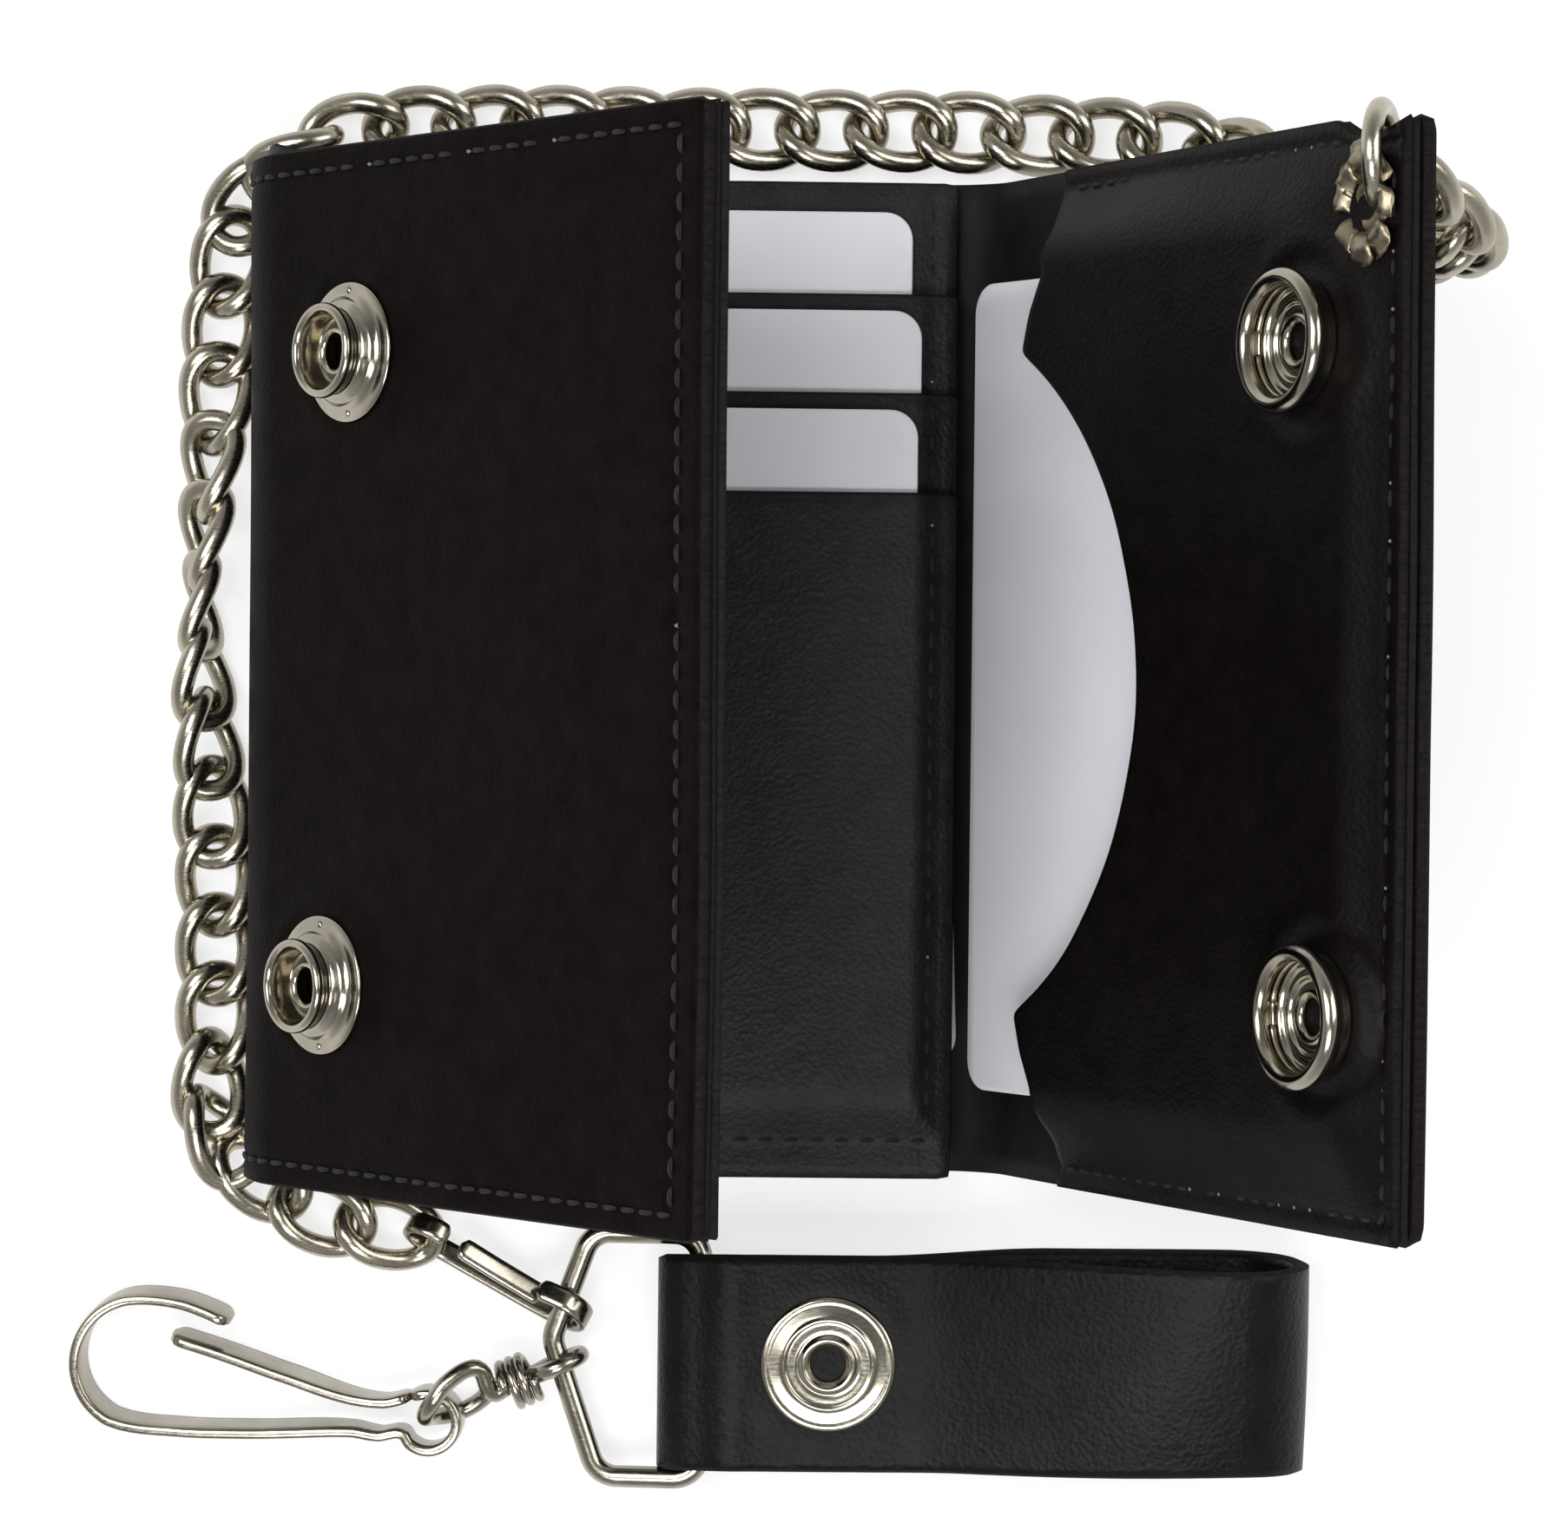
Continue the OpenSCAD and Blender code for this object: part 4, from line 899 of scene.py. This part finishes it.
def wire(path, radius, sides=12, closed=False):
    """Round wire swept along a smooth path of points, its frame carried without twist."""
    path = np.asarray(path, float)
    way = np.roll(path, -1, axis=0) - np.roll(path, 1, axis=0) if closed else np.gradient(path, axis=0)
    way /= np.linalg.norm(way, axis=1)[:, None]
    side = np.cross(way[0], np.eye(3)[np.argmin(np.abs(way[0]))])
    frames, points = [], []
    for step in way:
        side = side - step * side.dot(step)
        side /= np.linalg.norm(side)
        frames.append((side.copy(), np.cross(step, side)))
    slip = 0.0
    if closed:
        first, last = frames[0], frames[-1]
        slip = math.atan2(last[0].dot(first[1]), last[0].dot(first[0]))
    for i, (a, b) in enumerate(frames):
        undo = -slip * i / len(frames)
        for k in range(sides):
            t = 2 * math.pi * k / sides + undo
            points.append(path[i] + radius * (math.cos(t) * a + math.sin(t) * b))
    return np.array(points), tube_faces(len(path), sides, closed=closed)


ring_turn = np.linspace(ring_gap, 2 * math.pi - ring_gap, ring_steps) + ring_joint
ring_path = np.stack([np.zeros(ring_steps), np.sin(ring_turn) * ring_high, np.cos(ring_turn) * ring_deep], 1)
fit("jump_ring", wire(ring_path, ring_wire / 2, 16), chain_nickel, "end_ring", "end_ring",
    flap_place(1, *ring_centre) @ Matrix.Rotation(math.radians(ring_lean), 4, "Y"))

# Curb chain: nickel-plated steel links, each an oval of round wire twisted so that the chain lies
# flat. It turns over once beside the left fold. The links lie about where the frame has them, each
# run shifted and rolled a little (millimetres, degrees) as the chain was laid down.
link_wire, link_width, link_length, link_twist, link_square = 2.35, 9.1, 12.69, 38.0, 0.85
chain_nodes = ("chain_end", "chain_left", "chain_top", "chain_lead")
chain_first = np.array([-22.4, -60.8, 3.0])


def link_bodies(name):
    """The points of each separate link in a chain node of the frame, in millimetres."""
    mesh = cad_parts[name].data
    spots = np.array([v.co for v in mesh.vertices]) / mm
    keys, same = np.unique(np.round(spots, 3), axis=0, return_inverse=True)
    parent = list(range(len(keys)))

    def root(i):
        while parent[i] != i:
            parent[i] = parent[parent[i]]
            i = parent[i]
        return i
    for polygon in mesh.polygons:
        corners = [root(int(same.ravel()[i])) for i in polygon.vertices]
        for corner in corners[1:]:
            parent[root(corner)] = root(corners[0])
    groups = {}
    for i in range(len(keys)):
        groups.setdefault(root(i), []).append(keys[i])
    return [np.array(group) for group in groups.values()]


links, here, first_up = [], chain_first, np.array([0, 0, 1.0])
for name in chain_nodes:
    waiting = []
    for body in link_bodies(name):
        _, axes = np.linalg.eigh(np.cov((body - body.mean(axis=0)).T))
        waiting.append((name, body.mean(axis=0), axes[:, 0]))
    while waiting:
        waiting.sort(key=lambda link: np.linalg.norm(link[1] - here))
        links.append(waiting.pop(0))
        here = links[-1][1]
middles = np.array([middle for _, middle, _ in links])
normals = []
for _, _, normal in links:
    normals.append(normal * np.sign(normal.dot(normals[-1] if normals else first_up)))
normals = np.array(normals)
order = np.arange(len(links))
by_clip, at_corner = ridge(3.2, 1.1, order), ridge(18, 0.9, order)
turned_once = np.clip((order - 7) / 8, 0, 1)
loose = np.sin(2.3 * order)
turned_over = 45 * by_clip + 62 * at_corner + 180 * turned_once + 6 * loose
left_run = ramp(3, 5, order) * ramp(18, 16, order) * (1 - ridge(10.8, 2.4, order))
below_foot, top_run = ridge(2.1, 1.25, order), ramp(18, 20, order) * ramp(32, 29, order)
lead_start, lead_end = ramp(33, 39, order), ramp(33, 41, order) ** 3
middles[:, 0] += 1.8 * left_run
middles[:, 1] += 3.1 * below_foot - 0.8 * top_run
middles += np.stack([-2.9 * lead_end, -3.0 * lead_start, -2.6 * lead_end], 1)
middles += np.stack([0.8 * at_corner, -1.0 * at_corner, 0 * at_corner], 1)
travel = headings(middles)
on_table = ramp(0.5, 3.0, order) * ramp(31.5, 29.0, order)


def curb_link(middle, along, up):
    """One oval link, twisted evenly from end to end."""
    reach, half_width = (link_length - link_wire) / 2, (link_width - link_wire) / 2
    across = np.cross(up, along)
    path = []
    for a in np.linspace(0, 2 * math.pi, 44, endpoint=False):
        x = reach * math.copysign(abs(math.cos(a)) ** link_square, math.cos(a))
        y = half_width * math.copysign(abs(math.sin(a)) ** link_square, math.sin(a))
        turn = math.radians(link_twist) * x / reach
        path.append(middle + x * along + y * (math.cos(turn) * across + math.sin(turn) * up))
    return wire(path, link_wire / 2, 14, closed=True)


for name in chain_nodes:
    run = []
    for k in (k for k in order if links[k][0] == name):
        along = travel[k]
        beside = [normals[j] for j in (k - 1, k + 1) if 0 <= j < len(links)]
        up = normals[k] + sum(beside) / len(beside)
        up = up - along * up.dot(along)
        up /= np.linalg.norm(up)
        roll = math.radians(turned_over[k])
        rolled = math.cos(roll) * up + math.sin(roll) * np.cross(along, up)
        points, faces = curb_link(middles[k], along, rolled)
        points[:, 2] -= on_table[k] * (points[:, 2].min() - 0.05)
        run.append((points, faces))
    chain_run = make_piece(f"curb_{name}", *gather(run), [chain_nickel])
    if name == "chain_lead":
        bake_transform(chain_run)
    else:
        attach(chain_run, "wallet" if name == "chain_top" else name)
    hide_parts(name)

# Belt clip: a flat nickel-plated spring strip, bent to an eye round the last link and a hook round
# the strap ring, with a loose tongue that closes the hook.
clip_pin, clip_crossing = np.array([-22.4, -61.4, 3.956]), np.array([-8.4, -68.9, 4.227])
clip_eye, clip_hook, clip_strip, clip_width, clip_roll = 2.8, 2.9, 1.0, 2.4, 66.0
clip_nickel = plated("clip_nickel", dark=(0.24, 0.222, 0.178), light=(0.39, 0.362, 0.298), rough=(0.14, 0.28))


def eased(corners, steps, last=None):
    """A smooth path through corners, its direction at each the mean of both sides."""
    corners = [np.array(corner, float) for corner in corners]
    ways = [b - a for a, b in zip(corners, corners[1:])]
    unit = [way / np.linalg.norm(way) for way in ways]
    turns = [unit[0]] + [(a + b) / np.linalg.norm(a + b) for a, b in zip(unit, unit[1:])]
    turns.append(unit[-1] if last is None else np.array(last, float))
    path = []
    for a, b, u, v, way in zip(corners, corners[1:], turns, turns[1:], ways):
        for t in np.arange(steps) / steps:
            path.append((2 * t ** 3 - 3 * t ** 2 + 1) * a + (3 * t ** 2 - 2 * t ** 3) * b
                        + np.linalg.norm(way) * ((t ** 3 - 2 * t ** 2 + t) * u + (t ** 3 - t ** 2) * v))
    return np.array(path + [corners[-1]])


def arc(cx, cy, radius, first, last, steps):
    """Points along an arc from one angle to another."""
    turns = np.radians(np.linspace(first, last, steps + 1))
    return [(cx + radius * math.cos(a), cy + radius * math.sin(a)) for a in turns]


def bent_strip(path, thickness, width):
    """Flat strip bent edgewise along a path in the XY plane, its edges eased and its ends rounded."""
    way = headings(path)
    side = np.stack([-way[:, 1], way[:, 0]], 1)
    t, w, ease = thickness / 2, width / 2, min(thickness, width) * 0.2
    outline = soften([(t, w - ease), (t - ease, w), (-t + ease, w), (-t, w - ease), (-t, -w + ease),
                      (-t + ease, -w), (t - ease, -w), (t, -w + ease)], 1)
    runs = run_lengths(path)
    points = []
    for i in range(len(path)):
        end = min(runs[i], runs[-1] - runs[i])
        taper = math.sqrt(max(0.12, 1 - (1 - min(1, end / (0.3 * width))) ** 2))
        for a, b in outline:
            points.append((*(path[i] + a * (0.6 + 0.4 * taper) * side[i]), b * taper))
    return np.array(points), tube_faces(len(path), len(outline))


clip_line = clip_crossing - clip_pin
clip_reach = math.hypot(clip_line[0], clip_line[1])
clip_at = (Matrix.Translation(clip_pin.tolist())
           @ Matrix.Rotation(math.atan2(clip_line[1], clip_line[0]), 4, "Z")
           @ Matrix.Rotation(-math.asin(clip_line[2] / clip_reach), 4, "Y")
           @ Matrix.Rotation(math.radians(clip_roll), 4, "X"))
clip_tail = clip_eye + 1.2
clip_hook_path = eased(
    arc(0, 0, clip_eye, 60, 300, 8)
    + [(clip_tail + 1.4, -clip_eye + 0.2), (clip_reach / 2, -clip_hook + 0.2)]
    + arc(clip_reach, 0, clip_hook, -90, 110, 8) + [(clip_reach - 3.2, clip_hook - 0.9)], 5)
clip_tongue_path = eased([(clip_tail - 1.0, clip_eye - 1.2), (clip_reach / 2, 0.7),
                          (clip_reach - 2.3, clip_hook - 2.9)], 10)
fit("belt_clip_strip", bent_strip(clip_hook_path, clip_strip, clip_width), clip_nickel,
    "belt_clip", "belt_clip_hook", clip_at)
fit("belt_clip_spring", bent_strip(clip_tongue_path, clip_strip, clip_width), clip_nickel,
    "belt_clip_tongue", "belt_clip_tongue", clip_at)

# Strap ring: round nickel-plated wire bent to a five-cornered ring and closed with a butt joint.
# Its straight side runs through the fold of the belt strap.
strap_ring_wire, strap_ring_high, strap_ring_deep, strap_ring_drop, strap_ring_bend = 2.4, 26.6, 16.4, 1.9, 3
strap_ring_at = (6.9, -73.9, 6.0)
ring_corners = [
    (0, -strap_ring_high / 2), (0, strap_ring_high / 2), (-strap_ring_deep * 0.74, strap_ring_high / 2),
    (-strap_ring_deep, 1.6), (-strap_ring_deep * 0.69, -strap_ring_high / 2)]


def bent_loop(corners, bend, steps):
    """A closed loop with each corner bent to a radius and points along its straight sides."""
    corners = [np.array(corner, float) for corner in corners]
    path = []
    for k, corner in enumerate(corners):
        a, b = corners[k - 1] - corner, corners[(k + 1) % len(corners)] - corner
        a, b = a / np.linalg.norm(a), b / np.linalg.norm(b)
        half = math.acos(np.clip(a.dot(b), -1, 1)) / 2
        middle = corner + (a + b) / np.linalg.norm(a + b) * bend / math.sin(half)
        first = corner + a * bend / math.tan(half) - middle
        last = corner + b * bend / math.tan(half) - middle
        start = math.atan2(first[1], first[0])
        turn = math.atan2(first[0] * last[1] - first[1] * last[0], first.dot(last))
        for angle in (start + turn * i / steps for i in range(steps + 1)):
            path.append(middle + bend * np.array([math.cos(angle), math.sin(angle)]))
    dense = []
    for a, b in zip(path, path[1:] + path[:1]):
        cuts = max(1, int(np.linalg.norm(b - a) / 1.5))
        dense += [a + (b - a) * i / cuts for i in range(cuts)]
    return np.array([(x, y, 0.0) for x, y in dense])


ring_tilt = Matrix.Rotation(-math.asin(strap_ring_drop / strap_ring_deep), 4, "Y")
ring_loop = bent_loop(ring_corners, strap_ring_bend, 10)
fit("strap_ring_wire", wire(ring_loop, strap_ring_wire / 2, 18, closed=True), clip_nickel,
    "strap_ring", "strap_ring", Matrix.Translation(strap_ring_at) @ ring_tilt)

# Belt strap: a band of heavier smooth cowhide with a polished face. It folds round the ring, is
# riveted to itself by the snap, and turns back under itself to close on the snap's socket.
strap_middle, strap_width, strap_thickness, strap_rim = -73.9, 23.4, 1.8, 0.4
strap_snap_x, strap_bend_x, tail_end_x = 20.5, 64.5, 12.4
strap_return_z, strap_top_z, strap_tail_z, strap_turn_z = 8.75, 10.85, 2.5, 18.35
strap_dip, strap_twist, joint_line, sharp_edge = math.radians(8), 14.0, 0.06, math.radians(75)
strap_curl, strap_drawn, drawn_below, drawn_run = 0.35, 0.11, 11.5, (45, 25)
strap_free, strap_slack, strap_calm, tail_slack = (52, 64), 0.5, 14, 0.3
upper_layer, rim_height, rim_radius, rim_width = (34, 36), 0.16, 8.6, 1.0
fold_x, fold_z, fold_radius = 6.9, 6.0, 3.9
strap_hide = leather("strap_hide", dark=(0.0026, 0.0023, 0.0022), light=(0.008, 0.0073, 0.007),
                     rough=(0.30, 0.42), grain=0.55, grain_depth=0.15, specular=0.1)
strap_cut = cut_edge("strap_cut", (0.0045, 0.0037, 0.0035), (0.018, 0.0145, 0.0125))


def path_course(path, outward):
    """A sheet's profile along a free path of (x, z) points, and its length."""
    at, way = run_lengths(path), np.gradient(path, axis=0)
    turns = np.unwrap(np.arctan2(way[:, 1], way[:, 0]))

    def place(s):
        turn = np.interp(s, at, turns)
        return (np.interp(s, at, path[:, 0]), np.interp(s, at, path[:, 1]),
                -outward * np.sin(turn), outward * np.cos(turn))
    return place, at[-1]


strap_flat = strap_snap_x - snap_radius
strap_path = eased(
    [(29.2, strap_return_z), (strap_flat, strap_return_z), (strap_flat - 0.8, strap_return_z),
     (strap_flat - 1.9, strap_return_z - 0.7), (11.0, 6.125), (10.1, 3.8), (8.9, 2.5)]
    + arc(fold_x, fold_z, fold_radius, 270, 90, 6)
    + [(9.9, 11.25), (strap_flat - 0.8, strap_top_z), (strap_flat, strap_top_z), (27.7, strap_top_z),
       (29.2, strap_top_z), (32.2, 11.35), (42.5, 14.675), (52.0, 17.45), (58.5, 18.55),
       (strap_bend_x, strap_turn_z)], 10, last=(math.cos(strap_dip), -math.sin(strap_dip)))
strap_course, strap_length = path_course(strap_path, 1)
strap_rows = lines(strap_middle - strap_width / 2, strap_middle + strap_width / 2, 1.2,
                   (strap_middle, 9, 0.8))
bend_radius = (strap_turn_z - strap_tail_z) / (1 + math.cos(strap_dip))
bend_length = bend_radius * (math.pi - strap_dip)
tail_run = strap_bend_x - bend_radius * math.sin(strap_dip) - tail_end_x
tail_course = course(strap_bend_x, strap_turn_z, -math.degrees(strap_dip),
                     [(bend_length, math.degrees(strap_dip) - 180), (tail_run, 0)], 1)


def strap_cup(y):
    """How far the strap's edges curl away from its middle, 0 to 1."""
    return ((y - strap_middle) / (strap_width / 2)) ** 2


def strap_lift(s, y):
    """Slack in the free run of the strap, none where the snap clamps it."""
    slack = strap_slack * ramp(strap_length, strap_length - strap_calm, s) * unevenness(s, y, 22, 8.0)
    return ramp(*strap_free, s) * (slack - strap_curl * strap_cup(y))


def tail_lift(s, y):
    """Slack in the turned-back end, which lies flat towards its socket."""
    free = ramp(2, 12, s) * ramp(bend_length + 20, bend_length, s)
    slack = tail_slack * free * unevenness(s, y, 20, 9.0)
    return slack - strap_curl * ramp(bend_length * 0.8, 0, s) * strap_cup(y)


def strap_press(s, y):
    """A rim of leather squeezed up round the snap."""
    away = np.hypot(strap_course(s)[0] - strap_snap_x, y - strap_middle)
    return ramp(*upper_layer, s) * rim_height * ridge(rim_radius, rim_width, away)


def strap_lay(profile, lift, straight, twisted):
    """The strap as it lies: its lower layers drawn towards the foot, twisted a little towards its bend."""
    face = skin(profile, -strap_thickness / 2, lift)

    def place(s, y, out=0.0):
        points = face(s, y, out)
        turn = np.radians(strap_twist * ramp(straight, twisted, np.broadcast_to(s, points.shape[:-1])))
        side = points[..., 1] - strap_middle
        points[..., 1] = strap_middle + side * np.cos(turn)
        points[..., 2] += side * np.sin(turn)
        low = np.maximum(drawn_below - points[..., 2], 0)
        points[..., 1] -= strap_drawn * low * ramp(*drawn_run, points[..., 0])
        return points
    return place


strap = sheet("strap_band", [strap_hide, strap_cut],
              strap_lay(strap_course, strap_lift, strap_length - 34, strap_length),
              np.insert(lines(0, strap_length, 1.0), -1, strap_length - joint_line), strap_rows,
              strap_thickness, press=strap_press, rim=strap_rim, square_end=True)
strap.data.set_sharp_from_angle(angle=sharp_edge)
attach(strap, "belt_strap")
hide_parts("belt_strap")
tail = sheet("strap_end", [strap_hide, strap_cut], strap_lay(tail_course, tail_lift, bend_length, 0),
             np.insert(lines(0, bend_length + tail_run, 1.2), 1, joint_line), strap_rows,
             strap_thickness, rim=strap_rim, square_start=True, flat_start=strap_length)
tail.data.set_sharp_from_angle(angle=sharp_edge)
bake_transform(tail)
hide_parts("strap_bend", "strap_tail")

# Strap snap: an open eyelet plate on the strap's face is riveted through both layers to a stud below,
# which closes on a spring socket and its flat cap on the strap's tail.
tail_socket_z, tail_cap_z = 3.4, 1.6
plate_outline = soften([
    (snap_bore, -3.9), (2.2, -3.9), (2.2, -0.02), (7.1, -0.02), (7.25, 0.12), (7.15, 0.36), (6.75, 0.46),
    (6.4, 0.40), (6.1, 0.44), (5.1, 0.56), (4.9, 0.74), (4.7, 0.74), (4.45, 0.62), (3.55, 0.66), (3.3, 0.55),
    (3.05, 0.72), (2.8, 0.98), (2.45, 0.95), (2.1, 0.55), (snap_bore, 0.2)])
flat_cap_outline = [(0, 1.75), (2.0, 1.75), (2.2, 1.6), (2.2, 0.05), (6.9, 0.05), (7.2, -0.15), (7.1, -0.6),
                    (6.3, -1.25), (5.2, -1.58), (0, -1.6)]


def on_strap(z):
    """The snap's place on the strap at a height."""
    return Matrix.Translation((strap_snap_x, strap_middle, z))


hung = on_strap(strap_return_z - strap_thickness / 2) @ Matrix.Rotation(math.pi, 4, "X")
plate = placed(turned(plate_outline, 80), on_strap(strap_top_z + strap_thickness / 2))
tail_socket = placed(turned(socket_outline), on_strap(tail_socket_z))
tail_spring = placed(turned(spring_outline, 60, spring_sweep, 11), on_strap(tail_socket_z))
tail_cap = placed(domed(flat_cap_outline), on_strap(tail_cap_z))
fit("strap_snap_plate", plate, snap_nickel, "belt_strap", "strap_eyelet")
fit("strap_snap_stud", gather(stud(hung)), snap_nickel, "belt_strap", "strap_stud")
fit("strap_snap_socket", tail_socket, snap_nickel, "strap_tail", "strap_socket")
fit("strap_snap_spring", tail_spring, spring_steel, "strap_tail", "strap_spring")
fit("strap_snap_cap", tail_cap, snap_nickel, "strap_tail", "strap_cap")

# Swivel: one length of nickel-plated wire looped round the strap ring and through the key clip's
# eye, its neck bound with three turns of finer wire.
eye_wire, wrap_wire, wrap_turns = 1.9, 1.05, 3
eye_crossing, key_eye, swivel_z = np.array([-8.55, -75.1]), np.array([-22.4, -81.2]), 4.1
neck = (key_eye - eye_crossing) / np.linalg.norm(key_eye - eye_crossing)
eye_loop = strap_ring_wire / 2 + eye_wire / 2 + 0.35
strand = eye_wire / 2 + 0.05
wrap_radius, wrap_pitch = eye_wire + wrap_wire / 2 + 0.05, wrap_wire + 0.05
wrap_start = eye_loop + 0.5
wrap_end = wrap_start + wrap_turns * wrap_pitch
key_clip_z, key_clip_width = eye_wire + 0.4, 4.2
over_z = key_clip_z + key_clip_width + eye_wire / 2 + 0.35


def off_ring(distance, z):
    """A place along the swivel's neck, seen from the strap ring."""
    return (*(eye_crossing + distance * neck), swivel_z + z)


def by_key(x, y, z):
    """A place beside the key clip's eye."""
    return (key_eye[0] + x, key_eye[1] + y, z)


swivel_path = eased([
    off_ring(wrap_end - 0.6, strand), off_ring(wrap_start, strand), off_ring(1.4, eye_loop - 0.3),
    off_ring(0, eye_loop), off_ring(-eye_loop * 0.8, eye_loop * 0.6), off_ring(-eye_loop, 0),
    off_ring(-eye_loop * 0.8, -eye_loop * 0.6), off_ring(0, -eye_loop), off_ring(1.4, -eye_loop + 0.3),
    off_ring(wrap_start, -strand), off_ring(wrap_end, -strand), by_key(6.3, 3.2, 2), by_key(5.4, 1.8, strand),
    by_key(2.6, 0.2, strand), by_key(0.2, 0, 2.6), by_key(-0.6, 0.6, over_z - 1.6), by_key(0.2, 2.2, over_z),
    by_key(1.8, 4.4, over_z), by_key(5, 5.9, over_z - 0.9), off_ring(wrap_end + 1.4, strand + 0.5),
    off_ring(wrap_end, strand)], 7)
wrap_up, wrap_side = np.array([0, 0, 1]), np.array([-neck[1], neck[0], 0])
wrap_path = [np.array(off_ring(wrap_start + 0.1 + wrap_pitch * a / (2 * math.pi), 0))
             + wrap_radius * (math.cos(a) * wrap_up + math.sin(a) * wrap_side)
             for a in np.linspace(0, 2 * math.pi * wrap_turns, wrap_turns * 28)]
fit("swivel_wire", wire(swivel_path, eye_wire / 2, 14), clip_nickel, "swivel", "swivel_eye")
fit("swivel_binding", wire(wrap_path, wrap_wire / 2, 10), clip_nickel, "swivel", "swivel_wrap")

# Key clip: a flat nickel-plated spring strip bent into an eye, a long shank and a round hook, with a
# springy tongue that shuts against the inside of the hook. It leans a little as it lies.
key_strip, key_length, key_hook, key_eye_radius = 1.15, 38.4, 7.0, 3.1
key_lean_x, key_lean_y = 0.10, 0.18
hook_x = -key_length + key_hook
key_at = (Matrix.Translation((*key_eye, key_clip_z))
          @ Matrix.Rotation(-math.asin(key_clip_z / (key_length + key_hook / 2)), 4, "Y")
          @ Matrix.Translation((0, 0, key_clip_width / 2)))
key_hook_path = eased(
    [(hook_x + 9.8, key_hook + 3.9), (hook_x + 7.2, key_hook + 5.1), (hook_x + 4.2, key_hook + 6.05)]
    + arc(hook_x, key_hook - 0.6, key_hook, 98, 245, 9)
    + [(hook_x + 4.4, -0.9), (hook_x + 12, -1), (-8.4, -0.9), (-5.4, -1.5)]
    + arc(0, 0, key_eye_radius, 205, 455, 10) + [(-2.1, 2.7)], 6)
key_tongue_path = eased([(-1.9, 2.74), (-5, 2.1), (-15, 5), (hook_x + 9, 7.5), (hook_x + 3.4, 9.2)], 10)
for name, path, body, stands_for in (
        ("key_clip_strip", key_hook_path, "key_clip", "key_clip_hook"),
        ("key_clip_spring", key_tongue_path, "key_clip_tongue", "key_clip_tongue")):
    points, faces = bent_strip(path, key_strip, key_clip_width)
    lean = (points[:, 2] + key_clip_width / 2) * (0.3 + 0.7 * ramp(-3, -14, points[:, 0]))
    points[:, 0] -= key_lean_x * lean
    points[:, 1] -= key_lean_y * lean
    fit(name, (points, faces), clip_nickel, body, stands_for, key_at)

# Studio: a plain pale table, soft boxes overhead and to the sides, and the camera above the table
# where the photographer stood, looking almost straight down.
table_half, table_z, paper_share = 3000, -0.15, 0.72
table, table_shader = new_finish("table_white", (0.9, 0.9, 0.9), 0.9, specular=0.1)
seen = node(table, "ShaderNodeLightPath").outputs
seen_direct = reckon(table, "MAXIMUM", seen["Is Camera Ray"], seen["Is Glossy Ray"])
seen_at_all = reckon(table, "MAXIMUM", seen_direct, seen["Is Transmission Ray"])
paper = node(table, "ShaderNodeEmission", Strength=1.0)
paper_mix = node(table, "ShaderNodeMixShader", Fac=reckon(table, "MULTIPLY", seen_at_all, paper_share))
join(table, table_shader.outputs[0], paper_mix.inputs[1])
join(table, paper.outputs[0], paper_mix.inputs[2])
join(table, paper_mix.outputs[0], table.node_tree.nodes["Material Output"].inputs["Surface"])
table_corners = [(x * table_half, y * table_half, table_z) for x, y in ((-1, -1), (1, -1), (1, 1), (-1, 1))]
table_top = make_piece("table_top", table_corners, [(0, 1, 2, 3)], [table])

room = bpy.data.worlds.new("studio_room")
bpy.context.scene.world = room
room.use_nodes = True
room_lay = node(room, "ShaderNodeTexCoord").outputs["Generated"]
room_height = node(room, "ShaderNodeSeparateXYZ", Vector=room_lay).outputs["Z"]
tint(room, room.node_tree.nodes["Background"].inputs["Color"], room_height,
     (0.72, 0.72, 0.72), (0.2, 0.2, 0.2), 0.0, 0.75)

for name, at, aim, width, height, power in (
        ("over_box", (0.02, -0.33, 0.60), (0.0, -0.02, 0.0), 0.34, 0.22, 3.1),
        ("left_box", (-0.24, 0.10, 0.62), (0.04, 0, 0.03), 0.3, 0.4, 3.6),
        ("right_box", (0.55, 0.16, 0.5), (0, 0, 0.02), 0.4, 0.5, 2.7)):
    lamp = bpy.data.lights.new(name, "AREA")
    lamp.shape, lamp.size, lamp.size_y, lamp.energy = "RECTANGLE", width, height, power
    box = bpy.data.objects.new(name, lamp)
    bpy.context.collection.objects.link(box)
    box.location = at
    box.rotation_euler = (Vector(aim) - Vector(at)).to_track_quat("-Z", "Y").to_euler()

photo_width, focal_pixels = 1806, 5634.4
camera_at = Vector((5.854, -3.300, 536.576)) * mm
camera_roll, camera_pitch, camera_yaw = (math.radians(a) for a in (-0.620, 0.722, 1.007))
camera_turn = (Matrix.Rotation(camera_roll, 3, "Z") @ Matrix.Rotation(camera_pitch, 3, "X")
               @ Matrix.Rotation(camera_yaw, 3, "Y"))
camera = bpy.data.objects.new("camera", bpy.data.cameras.new("camera"))
bpy.context.collection.objects.link(camera)
camera.data.sensor_width = 36.0
camera.data.lens = focal_pixels * camera.data.sensor_width / photo_width
camera.data.clip_start, camera.data.clip_end = 0.01, 50
camera.matrix_world = Matrix.Translation(camera_at) @ camera_turn.transposed().to_4x4()
bpy.context.scene.camera = camera
bpy.context.scene.view_settings.view_transform = "Standard"
